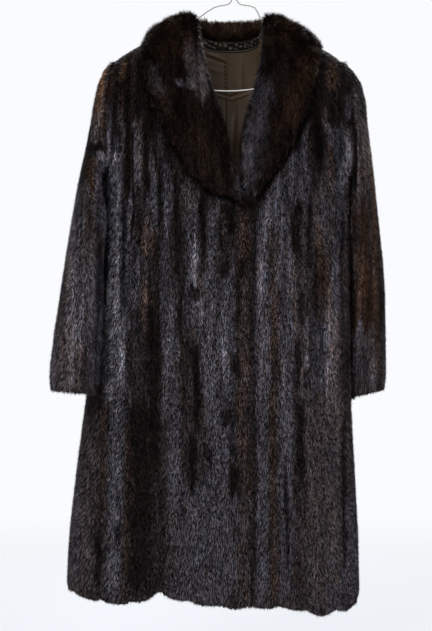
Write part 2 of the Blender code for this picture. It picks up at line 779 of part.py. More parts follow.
def build_sleeve(name, table, right_arm, material):
    ring = armhole_ring(right_arm)
    top, foot = ring[0], ring[UPPER_RISES.index(1.0)]
    centre = (top + foot) / 2
    reach = (top - foot).length / 2
    depth = (max(point.y for point in ring) - min(point.y for point in ring)) / 2
    angles = [math.atan2((centre.y - point.y) / depth, (point.z - centre.z) / reach) for point in ring]
    ideal = SleeveRing(top.x, top.z, foot.x, foot.z, centre.y, depth)
    misfit = [real - plain for real, plain in zip(ring, oval_ring(ideal, angles))]
    outward = Vector((-SEAM_GAP if right_arm else SEAM_GAP, 0, 0))
    rings = [[point + outward for point in ring]]
    for number, row in enumerate(table):
        share = max(1 - (number + 1) * ARMHOLE_FADE, 0.0)
        plain = oval_ring(row, angles)
        rings.append([clear_of_body(point + gap * share) for point, gap in zip(plain, misfit)])
    normals = ring_normals(rings)
    if not right_arm:
        normals = [[-normal for normal in row] for row in normals]
    inside = []
    for outer_ring, row in zip(rings, normals):
        inside.append([point - normal * FUR_WALL for point, normal in zip(outer_ring, row)])
    inside[0] = [Vector((ring[spot].x + outward.x, point.y, point.z)) for spot, point in enumerate(inside[0])]
    return wall_tube(name, rings, inside, material)


# ---- collar -----------------------------------------------------------------

CollarSection = namedtuple("CollarSection", "points thick")


def lapel_section(row, over):
    """The collar's middle line on a front, from its stand over the roll to its edge."""
    def lifted(x, z, lift):
        point = on_body(x, z, lift)
        if not over:
            rise = rise_at(x, z)
            point -= body_normal(turn_at(x, rise), rise) * overlap_inset(x, z)
        return point

    half = row.thick / 2
    edge_half = min(COLLAR_EDGE_THICK, row.thick) / 2
    roll = lifted(row.roll_x, row.roll_z, half + COLLAR_GAP)
    edge = lifted(row.edge_x, row.edge_z, edge_half + COLLAR_GAP)
    across = (edge - roll).normalized()
    rise = rise_at(row.roll_x, row.roll_z)
    normal = body_normal(turn_at(row.roll_x, rise), rise)
    width = (edge - roll).length
    start = roll + across * min(half, width * 0.2)
    points = [start - normal * max(half + row.lip, 0.001), start - normal * half * 0.1]
    for share in COLLAR_SHARES:
        x = mix(row.roll_x, row.edge_x, share)
        points.append(lifted(x, mix(row.roll_z, row.edge_z, share), half + COLLAR_GAP))
    points.append(edge - across * min(edge_half, width * 0.2))
    return CollarSection(points, row.thick)


def shoulder_section(row, sign):
    """The collar's middle line beside the neck, square to the shoulder seam."""
    half = COLLAR_THICK / 2
    edge_half = COLLAR_EDGE_THICK / 2
    start_x = NECK_MIDDLE + sign * row.start
    edge_x = NECK_MIDDLE + sign * row.edge

    def lifted(share, lift, shift=0.0):
        x = mix(start_x, edge_x, share) + sign * shift
        turn = turn_at(x, row.rise)
        return body_point(turn, row.rise) + body_normal(turn, row.rise) * (lift + COLLAR_BACK_GAP)

    points = [lifted(0, -row.lip, half), lifted(0, half * 0.9, half)]
    points += [lifted(share, half) for share in COLLAR_SHARES]
    points.append(lifted(1, edge_half, -edge_half))
    return CollarSection(points, COLLAR_THICK)


def back_section(row, sign):
    """The collar's middle line behind the neck: up the stand, over and down."""
    half = COLLAR_THICK / 2
    neck_x = NECK_MIDDLE + sign * row.neck
    edge_x = NECK_MIDDLE + sign * row.edge
    rise = back_neck_rise(neck_x)
    turn = turn_at(neck_x, rise, back=True)
    neck = body_point(turn, rise)
    normal = body_normal(turn, rise)
    outward = Vector((normal.x, normal.y, 0)).normalized()
    foot = neck - normal * FUR_WALL / 2 + Vector((0, 0, STAND_THICK / 2 + STAND_GAP))
    head = Vector((neck.x, neck.y, row.top_z - half)) + outward * STAND_LEAN
    points = [foot, mix(foot, head, 0.45) - outward * STAND_HOLLOW, head]
    for share in COLLAR_SHARES[1:]:
        low = mix(neck.z, row.edge_z, share * (1 + ROLL_SHARE) - ROLL_SHARE)
        points.append(on_body(mix(neck_x, edge_x, share), low, half + COLLAR_BACK_GAP, back=True))
    points.append(on_body(edge_x, row.edge_z, COLLAR_EDGE_THICK / 2 + COLLAR_BACK_GAP, back=True))
    return CollarSection(points, COLLAR_THICK)


def profile_loop(section, along):
    """The closed outline round a middle line, square to the collar's run."""
    line = even_points(curve_through(section.points, 8), PROFILE_STEPS)
    start_half = min(STAND_THICK, section.thick) / 2
    edge_half = min(COLLAR_EDGE_THICK, section.thick) / 2
    upper = []
    lower = []
    for step, point in enumerate(line):
        share = step / (PROFILE_STEPS - 1)
        half = mix(start_half, section.thick / 2, min(share / 0.2, 1.0))
        half = mix(half, edge_half, max((share - 0.7) / 0.3, 0.0))
        ahead = line[min(step + 1, PROFILE_STEPS - 1)] - line[max(step - 1, 0)]
        side = ahead.cross(along).normalized()
        upper.append(point + side * half)
        lower.append(point - side * half)
    start_way = (line[0] - line[1]).normalized() * start_half
    edge_way = (line[-1] - line[-2]).normalized() * edge_half
    start_side = (upper[0] - line[0]) * COLLAR_CORNER
    edge_side = (upper[-1] - line[-1]) * COLLAR_CORNER
    loop = [*upper, line[-1] + edge_way * COLLAR_CORNER + edge_side, line[-1] + edge_way]
    loop += [line[-1] + edge_way * COLLAR_CORNER - edge_side, *reversed(lower)]
    loop += [line[0] + start_way * COLLAR_CORNER - start_side, line[0] + start_way]
    loop += [line[0] + start_way * COLLAR_CORNER + start_side]
    return loop


def build_collar(material):
    sections = [lapel_section(row, over=True) for row in LAPEL_OVER]
    sections += [shoulder_section(row, -1) for row in SHOULDER_COLLAR]
    sections += [back_section(row, -1) for row in reversed(BACK_COLLAR[1:])]
    sections += [back_section(row, 1) for row in BACK_COLLAR]
    sections += [shoulder_section(row, 1) for row in reversed(SHOULDER_COLLAR)]
    sections += [lapel_section(row, over=False) for row in LAPEL_UNDER]
    loops = []
    for place, section in enumerate(sections):
        before = sections[max(place - 1, 0)].points
        after = sections[min(place + 1, len(sections) - 1)].points
        along = sum((end - start for start, end in zip(before, after)), Vector()).normalized()
        loops.append(profile_loop(section, along))
    return swept_solid("collar", loops, material)


# ---- lining and neck trim ---------------------------------------------------

def pleat_step(x, z):
    """How far the lining's pleat stands forward."""
    over = (x - PLEAT_X) / PLEAT_WIDTH
    if over < 0 or over > 1:
        return 0.0
    return PLEAT_DEPTH * (1 - over) * (1 - smooth_step((PLEAT_FADE_Z - z) / PLEAT_FADE))


def lining_gap(point):
    """How far the lining hangs off the shell at a place."""
    beside_neck = (abs(point.x - NECK_MIDDLE) - LINING_SHOULDER_FROM) / LINING_SHOULDER_FADE
    near = mix(LINING_GAP, LINING_SHOULDER_GAP, smooth_step(beside_neck))
    return mix(near, LINING_LOOSE, smooth_step((LINING_LOOSE_Z - point.z) / LINING_LOOSE_FADE))


def build_lining(material):
    """The back's lining: close to the shell at the neck, hanging free below."""
    pleat = [PLEAT_X - PLEAT_STEP, PLEAT_X, PLEAT_X + PLEAT_WIDTH / 2, PLEAT_X + PLEAT_WIDTH]
    outside = []
    inside = []
    for row in LINING_ROWS:
        base_rise = max(row_rise(row, 0.0, "back"), HEM_RISE + LINING_HEM_UP)
        start = armhole_turn(base_rise, "back", right_arm=True) - LINING_SIDE_INSET
        end = armhole_turn(base_rise, "back", right_arm=False) + LINING_SIDE_INSET
        start_x = body_point(start, min(base_rise, 0.0)).x - NECK_MIDDLE
        end_x = body_point(end, min(base_rise, 0.0)).x - NECK_MIDDLE
        widest = LINING_COLUMNS[0]
        places = [NECK_MIDDLE + start_x * away / widest for away in LINING_COLUMNS] + pleat
        places += [NECK_MIDDLE + end_x * away / widest for away in reversed(LINING_COLUMNS)]
        outer_row = []
        inner_row = []
        for x in places:
            rise = base_rise
            if rise > 0:
                rise *= min(back_neck_rise(x, LINING_TOP_DROP), LINING_SHOULDER_RISE)
            turn = turn_at(x, rise, back=True)
            point = body_point(turn, rise)
            normal = body_normal(turn, rise)
            depth = fold_depth(point.x, point.z, "back") + FUR_WALL + lining_gap(point)
            point -= normal * (depth + pleat_step(x, point.z))
            point.y += SEAM_GAP / 2
            outer_row.append(point)
            inner_row.append(point - normal * LINING_WALL)
        outside.append(outer_row)
        inside.append(inner_row)
    return wall_panel("lining_back", outside, inside, material)


def neck_line(x, drop, depth):
    """A point inside the back neck, a drop below the neck edge."""
    rise = back_neck_rise(x, drop)
    turn = turn_at(x, rise, back=True)
    return body_point(turn, rise) - body_normal(turn, rise) * (FUR_WALL + depth)


def build_neck_band(material):
    """The ruched band: a strip with small upright gathers."""
    outside = []
    inside = []
    columns = BAND_RUCHES * 4
    for row in range(3):
        outer_row = []
        inner_row = []
        drop = BAND_DROP + BAND_HEIGHT * row / 2
        for column in range(columns + 1):
            share = column / columns
            x = NECK_MIDDLE + mix(-BAND_REACH, BAND_REACH, share)
            gather = BAND_GATHER * math.sin(share * BAND_RUCHES * math.tau + row * BAND_GATHER_LEAN)
            outer_row.append(neck_line(x, drop, BAND_GAP + gather))
            inner_row.append(neck_line(x, drop, BAND_GAP + gather + BAND_WALL))
        outside.append(outer_row)
        inside.append(inner_row)
    return wall_panel("neck_band", outside, inside, material)


def build_piping(material):
    points = []
    for step in range(PIPING_STEPS + 1):
        x = NECK_MIDDLE + mix(-BAND_REACH, BAND_REACH, step / PIPING_STEPS)
        points.append(neck_line(x, BAND_DROP + BAND_HEIGHT + PIPING_DROP, BAND_GAP + PIPING_RADIUS))
    return wire_object("neck_piping", points, PIPING_RADIUS, material)


# ---- hanger -----------------------------------------------------------------

def arm_point(x):
    """A point of an arm, just under the shoulder seams."""
    fall = shoulder_height(x + WIRE_RADIUS) - shoulder_height(x - WIRE_RADIUS)
    below = Vector((fall, 0, -2 * WIRE_RADIUS)).normalized()
    top = Vector((x, 0, shoulder_height(x)))
    return top + below * (FUR_WALL + SEAM_GAP + WIRE_RADIUS)


def hanger_arm(sign):
    """Points of one half, from under the twist out to the middle of the bar."""
    near = [Vector((STEM_X + sign * away, 0, z)) for away, z in NECK_BENDS]
    arm = []
    for step in range(ARM_STEPS + 1):
        away = mix(ARM_START, ARM_REACH, step / ARM_STEPS)
        arm.append(arm_point(SHOULDER_CENTRE + sign * away))
    slope = (arm[-1] - arm[-2]).normalized()
    below = Vector((0, 0, -1)) - slope * slope.dot(Vector((0, 0, -1)))
    below.normalize()
    centre = arm[-1] + below * TIP_RADIUS
    bend = []
    for step in range(1, TIP_STEPS + 1):
        angle = math.radians(TIP_TURN * step / TIP_STEPS)
        bend.append(centre + (slope * math.sin(angle) - below * math.cos(angle)) * TIP_RADIUS)
    bar = []
    start = bend[-1]
    for step in range(1, BAR_STEPS + 1):
        share = step / BAR_STEPS
        x = mix(start.x, SHOULDER_CENTRE, share)
        z = mix(BAR_MIDDLE_Z, start.z, (1 - share) ** 2)
        bar.append(Vector((x, 0, z)))
    return near + arm + bend + bar


def build_hanger(material):
    """One wire: hook, stem, left half, right half and the turns round the stem."""
    centre_z = WIRE_RADIUS - HOOK_RADIUS
    hook = []
    for step in range(HOOK_STEPS + 1):
        angle = math.radians(mix(HOOK_START, HOOK_END, step / HOOK_STEPS))
        hook.append(Vector((math.cos(angle), 0, math.sin(angle))) * HOOK_RADIUS + Vector((0, 0, centre_z)))
    stem = [Vector((STEM_X + STEM_BEND[0], 0, STEM_BEND[1])), Vector((STEM_X, 0, STEM_TOP_Z))]
    stem += [Vector((STEM_X, 0, z)) for z in (TWIST_TOP, (TWIST_TOP + TWIST_FOOT) / 2, TWIST_FOOT)]
    left = curve_through(hanger_arm(1), 3)
    right = curve_through(hanger_arm(-1), 3)
    coil = []
    coil_radius = 2 * WIRE_RADIUS + SEAM_GAP
    steps = int(TWIST_TURNS * TWIST_SIDES)
    for step in range(steps + 1):
        angle = math.pi + step / TWIST_SIDES * math.tau
        z = mix(TWIST_FOOT, TWIST_TOP, step / steps)
        coil.append(Vector((STEM_X + coil_radius * math.cos(angle), coil_radius * math.sin(angle), z)))
    points = hook + stem + left + list(reversed(right))[1:] + coil
    return wire_object("hanger", points, WIRE_RADIUS, material)


def main():
    clear_scene()
    fur = make_material("dark_fur", FUR_COLOUR, FUR_ROUGHNESS)
    satin = make_material("olive_satin", SATIN_COLOUR, SATIN_ROUGHNESS)
    wire = make_material("white_wire", WIRE_COLOUR, WIRE_ROUGHNESS)
    build_back(fur)
    build_front("front_right", True, fur)
    build_front("front_left", False, fur)
    build_sleeve("sleeve_right", SLEEVE_RIGHT, True, fur)
    build_sleeve("sleeve_left", SLEEVE_LEFT, False, fur)
    build_collar(fur)
    build_lining(satin)
    build_neck_band(satin)
    build_piping(satin)
    build_hanger(wire)


main()
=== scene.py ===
import math
from collections import namedtuple

import bpy
import numpy as np
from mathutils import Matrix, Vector, kdtree
from mathutils.bvhtree import BVHTree


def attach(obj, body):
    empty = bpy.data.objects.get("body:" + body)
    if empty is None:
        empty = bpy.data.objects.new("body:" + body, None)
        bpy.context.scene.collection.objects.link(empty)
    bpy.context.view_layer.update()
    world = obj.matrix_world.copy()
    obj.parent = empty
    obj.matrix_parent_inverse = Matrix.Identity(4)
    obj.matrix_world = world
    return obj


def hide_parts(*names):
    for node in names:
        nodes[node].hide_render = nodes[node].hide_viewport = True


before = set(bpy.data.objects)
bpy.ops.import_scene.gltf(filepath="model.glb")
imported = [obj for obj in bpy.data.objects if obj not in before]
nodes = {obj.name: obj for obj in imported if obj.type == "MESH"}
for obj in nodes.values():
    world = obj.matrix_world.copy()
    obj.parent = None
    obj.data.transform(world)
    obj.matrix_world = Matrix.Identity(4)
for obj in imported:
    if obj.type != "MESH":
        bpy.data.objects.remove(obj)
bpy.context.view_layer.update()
scene = bpy.context.scene


# camera and light: metres, watts, degrees

view = {
    "distance": 3.5,
    "middle": (-0.0312, -0.695),  # where it aims, in X and Z
    "frameHeight": 1.23045,  # what the frame's height takes in at the coat
    "sensor": 36.0,
    "clipEnd": 100.0,
}

studio = {
    "world": (0.97, 0.98, 1.0),
    "worldStrength": 0.985,
    "floorZ": -1.46,
    "floorSize": 60.0,
    "floorColour": (0.52, 0.535, 0.56),
    "floorFadeFrom": 0.9,
    "floorFadeTo": 3.6,
    "exposure": 0.0,
}

lamps = [  # name, place, aim, size, watts
    ("lampFront", (-0.9, -2.6, 0.9), (-0.03, 0.0, -0.70), 1.4, 60.0),
    ("lampSide", (1.6, -1.9, 0.3), (-0.03, 0.0, -0.80), 1.2, 28.0),
    ("lampTop", (0.1, 0.2, 1.6), (-0.03, 0.0, -0.60), 1.6, 30.0),
    ("lampBack", (0.3, 2.6, 1.7), (-0.03, 0.0, -0.80), 1.4, 55.0),
]


def addObject(name, data):
    added = bpy.data.objects.new(name, data)
    scene.collection.objects.link(added)
    return added


def makeCamera():
    camera = bpy.data.cameras.new("camera")
    camera.sensor_width = view["sensor"]
    camera.lens = view["sensor"] * view["distance"] / view["frameHeight"]
    camera.clip_end = view["clipEnd"]
    holder = addObject("camera", camera)
    holder.location = (view["middle"][0], -view["distance"], view["middle"][1])
    holder.rotation_euler = (math.radians(90), 0, 0)
    scene.camera = holder


def makeLamps():
    for name, place, aim, size, watts in lamps:
        lamp = bpy.data.lights.new(name, "AREA")
        lamp.shape = "DISK"
        lamp.size = size
        lamp.energy = watts
        holder = addObject(name, lamp)
        holder.location = place
        holder.rotation_euler = (Vector(aim) - Vector(place)).to_track_quat("-Z", "Y").to_euler()


# shader sockets that do arithmetic

class Value:
    def __init__(self, paint, socket):
        self.paint = paint
        self.socket = socket

    def __add__(self, other):
        return self.paint.maths("ADD", self, other)

    __radd__ = __add__

    def __sub__(self, other):
        return self.paint.maths("SUBTRACT", self, other)

    def __rsub__(self, other):
        return self.paint.maths("SUBTRACT", other, self)

    def __mul__(self, other):
        return self.paint.maths("MULTIPLY", self, other)

    __rmul__ = __mul__

    def __pow__(self, other):
        return self.paint.maths("POWER", self, other)


class Paint:
    # one procedural material
    def __init__(self, name, settings):
        self.material = bpy.data.materials.new(name)
        self.material.use_nodes = True
        self.tree = self.material.node_tree
        self.shader = self.tree.nodes["Principled BSDF"]
        for socket, value in settings.items():
            self.shader.inputs[socket].default_value = value

    def node(self, kind, settings, sockets, output=0):
        made = self.tree.nodes.new(kind)
        for key, value in settings.items():
            setattr(made, key, value)
        for socket, value in sockets.items():
            if isinstance(value, Value):
                self.tree.links.new(value.socket, made.inputs[socket])
            else:
                made.inputs[socket].default_value = value
        return Value(self, made.outputs[output])

    def maths(self, operation, *values):
        return self.node("ShaderNodeMath", {"operation": operation}, dict(enumerate(values)))

    def blend(self, share, first, second):
        return self.node("ShaderNodeMix", {"data_type": "RGBA"}, {0: share, 6: first, 7: second}, 2)

    def slope(self, value, start, end, low, high):
        return self.node("ShaderNodeMapRange", {"interpolation_type": "SMOOTHSTEP"},
                         {"Value": value, "From Min": start, "From Max": end, "To Min": low, "To Max": high})

    def places(self):
        return self.node("ShaderNodeTexCoord", {}, {}, "Object")

    def axis(self, number):
        return self.node("ShaderNodeSeparateXYZ", {}, {0: self.places()}, number)

    def noise(self, scale, **more):
        spread = self.node("ShaderNodeMapping", {}, {"Vector": self.places(), "Scale": scale})
        return self.node("ShaderNodeTexNoise", {}, {"Vector": spread, "Scale": 1.0, **more})

    def feed(self, socket, value):
        self.tree.links.new(value.socket, self.shader.inputs[socket])


# finishes: linear colours, and patterns as cells to a metre along X, Y and Z

furFinish = {"Roughness": 0.5, "Specular IOR Level": 0.03, "Metallic": 0.5}
skinFinish = {"Roughness": 0.85, "Specular IOR Level": 0.1}
satinFinish = {"Roughness": 0.4, "Specular IOR Level": 0.22, "Sheen Weight": 0.06, "Sheen Roughness": 0.4}
bandFinish = {"Roughness": 0.32, "Specular IOR Level": 0.28, "Sheen Weight": 0.02, "Sheen Roughness": 0.4}
wireFinish = {"Roughness": 0.26, "Coat Weight": 0.3}
floorFinish = {"Base Color": (*studio["floorColour"], 1), "Roughness": 0.9, "Specular IOR Level": 0.1}

skinLook = {"streaks": (300, 300, 60), "dark": (0.004, 0.003, 0.002, 1), "light": (0.016, 0.01, 0.008, 1)}
satinColours = {"light": (0.056, 0.0325, 0.0145, 1), "dark": (0.022, 0.0125, 0.0055, 1)}
bandColours = {"light": (0.013, 0.0076, 0.0036, 1), "dark": (0.0015, 0.0009, 0.0005, 1)}

satinLook = {
    "tone": (9, 9, 5), "toneDetail": 3.0, "toneShare": 0.8,
    "threads": (1400, 1400, 260), "threadShare": 0.2,  # threads a third of a millimetre apart
    "smoother": 0.06, "rougher": 0.18,  # in the threads' roughness
    "bump": 0.15, "bumpDepth": 0.0004,
}

stitchLook = {
    "colour": (0.004, 0.0024, 0.0012, 1),
    "half": 0.0014,  # half the width of the row
    "share": 0.5,  # of each step that is a stitch, and not a gap
    "cover": 0.9,
}

wireLook = {
    "wear": (90, 90, 90), "wearPower": 3, "rougher": 0.16,
    "clean": (0.58, 0.58, 0.57, 1),
    "worn": (0.46, 0.455, 0.45, 1),
    "hookShade": (0.2, 0.2, 0.198, 1),  # painted shade on the hook, from one height to the other
    "hookShadeFrom": -0.15, "hookShadeTo": -0.11,
}


def paintFur():
    paint = Paint("furHair", furFinish)
    paint.feed("Base Color", paint.node("ShaderNodeAttribute", {"attribute_name": "furColour"}, {}))
    return paint.material


def paintSkin():
    paint = Paint("furSkin", skinFinish)
    paint.feed("Base Color", paint.blend(paint.noise(skinLook["streaks"]), skinLook["dark"], skinLook["light"]))
    return paint.material


def paintSatin(name, colours, finish, pricked=None):
    # weave threads, under slow changes of tone
    paint = Paint(name, finish)
    tone = paint.noise(satinLook["tone"], Detail=satinLook["toneDetail"])
    threads = paint.noise(satinLook["threads"])
    share = tone * satinLook["toneShare"] + threads * satinLook["threadShare"]
    weave = paint.blend(share, colours["dark"], colours["light"])
    if pricked:
        # a row of small stitches beside the pleat
        x, z = paint.axis(0), paint.axis(2)
        dots = paint.maths("LESS_THAN", paint.maths("ABSOLUTE", x - pricked["stitchX"]), stitchLook["half"])
        dots = dots * paint.maths("LESS_THAN", paint.maths("FRACT", z * (1 / pricked["stitch"])), stitchLook["share"])
        dots = dots * paint.maths("LESS_THAN", z, pricked["pleatTop"])
        dots = dots * paint.maths("GREATER_THAN", z, pricked["pleatFoot"])
        weave = paint.blend(dots * stitchLook["cover"], weave, stitchLook["colour"])
    paint.feed("Base Color", weave)
    paint.feed("Roughness", finish["Roughness"] - satinLook["smoother"] + threads * satinLook["rougher"])
    paint.feed("Normal", paint.node("ShaderNodeBump", {}, {"Height": threads, "Strength": satinLook["bump"],
                                                           "Distance": satinLook["bumpDepth"]}))
    return paint.material


def paintWire():
    paint = Paint("wireCoating", wireFinish)
    wear = paint.noise(wireLook["wear"])
    # painted shade: the coating darker up the hook
    hookShade = paint.slope(paint.axis(2), wireLook["hookShadeFrom"], wireLook["hookShadeTo"], 0.0, 1.0)
    coating = paint.blend(wear ** wireLook["wearPower"], wireLook["clean"], wireLook["worn"])
    paint.feed("Base Color", paint.blend(hookShade, coating, wireLook["hookShade"]))
    paint.feed("Roughness", wireFinish["Roughness"] + wear * wireLook["rougher"])
    return paint.material


def paintFloor():
    # pale, and faded out before the background
    paint = Paint("paleFloor", floorFinish)
    away = paint.node("ShaderNodeVectorMath", {"operation": "LENGTH"}, {0: paint.places()}, "Value")
    paint.feed("Alpha", paint.slope(away, studio["floorFadeFrom"], studio["floorFadeTo"], 1.0, 0.0))
    return paint.material


# arithmetic on many places at once

clouds = {  # size of a feature along X, Y and Z, and a seed
    "drift": ((0.06, 0.3, 0.16), 61),
    "peltFray": ((0.003, 0.003, 0.014), 62),
    "peltGlow": ((0.05, 0.3, 0.17), 63),
    "browns": ((0.05, 0.3, 0.2), 64),
    "wander": ((0.02, 0.3, 0.045), 5),
    "patchy": ((0.01, 0.2, 0.03), 6),
    "drop": ((0.007, 0.3, 0.06), 7),
    "fray": ((0.003, 0.3, 0.012), 8),
    "nape": ((0.03, 0.3, 0.02), 66),
    "fineSheen": ((0.0055, 0.3, 0.075), 33),
    "broadSheen": ((0.014, 0.3, 0.13), 34),
    "swirl": ((0.05, 0.05, 0.09), 20),  # from here to cast, each piece adds its own seed
    "tousle": ((0.006, 0.006, 0.012), 21),
    "lift": ((0.012, 0.012, 0.03), 22),
    "tufts": ((0.01, 0.01, 0.014), 23),
    "mottle": ((0.01, 0.01, 0.045), 30),
    "grain": ((0.0009, 0.0009, 0.0034), 31),
    "cast": ((0.003, 0.003, 0.006), 32),
    "satinWaves": ((0.035, 0.5, 0.09), 41),
    "ruche": ((0.013, 0.5, 0.0024), 51),
}

scatter = {  # whole numbers that make chance of a place
    "strides": (73856093, 19349663, 83492791), "seed": 7919,
    "first": 1274126177, "second": 668265263, "mask": 0x7FFFFFFF, "levels": 65536,
}


def cloud(kind, places, seed=0):
    # smooth noise
    cell, ownSeed = clouds[kind]
    grid = places / np.asarray(cell)
    base = np.floor(grid).astype(np.int64)
    part = grid - base
    part = part * part * (3 - 2 * part)
    total = np.zeros(len(places))
    for corner in range(8):
        step = np.array([corner & 1, corner >> 1 & 1, corner >> 2 & 1])
        spot = (base + step) @ np.array(scatter["strides"]) + (ownSeed + seed) * scatter["seed"]
        spot = (spot ^ (spot >> 13)) * scatter["first"] & scatter["mask"]
        spot = (spot ^ (spot >> 15)) * scatter["second"] & scatter["mask"]
        weight = np.prod(np.where(step, part, 1 - part), axis=1)
        total += weight * (spot % (scatter["levels"] + 1)) / scatter["levels"]
    return total


def softStep(share):
    share = np.clip(share, 0, 1)
    return share * share * (3 - 2 * share)


def unit(vectors):
    return vectors / np.maximum(np.linalg.norm(vectors, axis=1, keepdims=True), 1e-9)


def inBox(places, box):
    return np.all((places > box[0]) & (places < box[1]), axis=1)


def nearLine(places, start, end):
    # distance from a line in X and Z, and how far along it
    line = np.array(end) - np.array(start)
    away = places[:, [0, 2]] - np.array(start)
    along = np.clip(away @ line / (line @ line), 0, 1)
    return np.linalg.norm(away - along[:, None] * line, axis=1), along


# pieces are copies of the CAD nodes, worked over

welding = {"near": 0.00002, "faceAngle": 50, "shapeAngle": 120}  # metres, degrees


def choose(thing):
    if bpy.context.object and bpy.context.object.mode != "OBJECT":
        bpy.ops.object.mode_set(mode="OBJECT")
    bpy.ops.object.select_all(action="DESELECT")
    thing.select_set(True)
    bpy.context.view_layer.objects.active = thing


def copyNode(node, name):
    # the node's mesh, welded and back in four-sided faces
    copied = addObject(name, nodes[node].data.copy())
    copied.data.materials.clear()
    copied.data.name = name
    choose(copied)
    bpy.ops.object.mode_set(mode="EDIT")
    bpy.ops.mesh.select_all(action="SELECT")
    bpy.ops.mesh.remove_doubles(threshold=welding["near"])
    bpy.ops.mesh.tris_convert_to_quads(face_threshold=math.radians(welding["faceAngle"]),
                                       shape_threshold=math.radians(welding["shapeAngle"]))
    bpy.ops.mesh.select_all(action="DESELECT")
    bpy.ops.object.mode_set(mode="OBJECT")
    return copied


def cutFiner(piece, cuts, wanted):
    # the wanted faces only, picked by their middles
    bpy.ops.object.mode_set(mode="EDIT")
    bpy.ops.mesh.select_mode(type="FACE")
    bpy.ops.mesh.select_all(action="DESELECT")
    bpy.ops.object.mode_set(mode="OBJECT")
    for face in piece.data.polygons:
        face.select = wanted(face.center)
    bpy.ops.object.mode_set(mode="EDIT")
    bpy.ops.mesh.subdivide(number_cuts=cuts)
    bpy.ops.object.mode_set(mode="OBJECT")


def readNumbers(items, key, kind, size=1):
    found = np.empty(len(items) * size, kind)
    items.foreach_get(key, found)
    return found.reshape(-1, size) if size > 1 else found


def placesOf(mesh):
    return readNumbers(mesh.vertices, "co", np.float32, 3).astype(float)


def normalsOf(mesh):
    return readNumbers(mesh.vertex_normals, "vector", np.float32, 3).astype(float)


def setPlaces(mesh, places):
    mesh.vertices.foreach_set("co", places.astype(np.float32).ravel())
    mesh.update()


def treeOf(mesh):
    return BVHTree.FromPolygons([spot.co for spot in mesh.vertices], [tuple(face.vertices) for face in mesh.polygons])


def treesOf(names):
    return [treeOf(nodes[name].data) for name in names]


def pointTree(found):
    # found is (place, number) for each point
    tree = kdtree.KDTree(len(found))
    for place, number in found:
        tree.insert(place, number)
    tree.balance()
    return tree


# the skin: each wall is split into its sides and its edges, and made thin

search = {
    "start": 0.0005,  # how far under a face the search starts
    "past": 1.6,  # and how far it goes, in wall thicknesses
    "opposite": -0.5,  # cosine between the two sides
    "level": 0.03,  # half the height of the ring that gives a sleeve's middle
}

neck = {  # the part of the collar behind the neck; its boxes by their low and high corners
    "middle": -0.005, "half": 0.085, "foot": -0.2,
    "stand": ((-0.09, 0.03, -0.19), (0.08, 0.085, -0.128)),
    "standFront": ((-1.0, 0.03, -0.19), (1.0, 0.073, 0.0)),
    "nape": ((-0.09, 0.03, -1.0), (0.08, 0.08, 0.0)),
}

sewnReach = 0.005  # pieces nearer than this are sewn together

coat = {
    "wall": 0.009,  # fur and skin together
    "inset": 0.5,  # how far the skin lies under the tips, as a share of the wall
    "seamInset": 0.15,  # round the armholes, where the walls meet at their tips
    "armholeFoot": -0.6,
    "smooth": 1,  # how often the skin's faces are halved
    "hangs": -0.7,  # a face that turns down so far is at a hem
    "coverReach": 0.01,  # a piece this near, over another one, hides it
    "coveredHair": 0.15,  # and this share of the hair stays under it
    "shownBehind": 0.015,  # but what faces forward behind this Y shows in the neck opening
    "shownFacing": -0.2,
    "borderHair": 0.0045,  # shortest hair, at a free edge
    "overhang": 0.0018,  # how far tips pass a free edge
    "shaped": {"sleeve_left": [  # place, reach, move: a rounder head, a fuller elbow and a lower cuff
        ((0.258, 0.03, -0.25), (0.03, 0.09, 0.05), (0.012, 0.0, 0.007)),
        ((0.29, 0.05, -0.845), (0.03, 0.09, 0.04), (0.003, 0.0, -0.004)),
        ((0.285, 0.045, -0.62), (0.03, 0.09, 0.16), (0.006, 0.0, 0.0)),
        ((0.238, 0.05, -0.85), (0.04, 0.09, 0.04), (0.0, 0.0, -0.009)),
        ((0.308, 0.05, -0.856), (0.016, 0.09, 0.016), (-0.008, 0.0, 0.004)),
    ]},
}

collar = {
    "rollInset": 0.005,  # it is fur all round
    "standInset": 0.0005,  # its stand behind the neck is thin
    "standTop": -0.128, "standHalf": 0.075,
    "standDrop": 0.01, "standForward": 0.002,  # and comes down to the band
    "rollLow": -0.185,  # above this the roll is higher behind the neck and lower at its sides
    "napeRise": 0.004, "napeHalf": 0.055, "sideDrop": 0.01,
    "wings": [((-0.18, -0.168), (0.008, -0.01)), ((0.172, -0.168), (-0.003, -0.005))],  # corners, drawn in
    "wingReach": 0.026,
}

hems = {
    "pieces": ["back", "front_right", "front_left"],
    "top": -1.2, "fade": 0.03, "cuts": 1,
    "scallop": 0.056,  # one for each pelt
    "drop": 0.006, "round": 0.8, "level": 0.55,
    "notchX": -0.138,  # between two of them, where the front's hem is drawn up
    "notchRise": 0.006, "notchWidth": 0.012,
}


def fromNeck(places):
    return np.abs(places[:, 0] - neck["middle"])


def behindNeck(places):
    return softStep((places[:, 2] - neck["foot"]) / 0.01) * softStep((neck["half"] - fromNeck(places)) / 0.02)


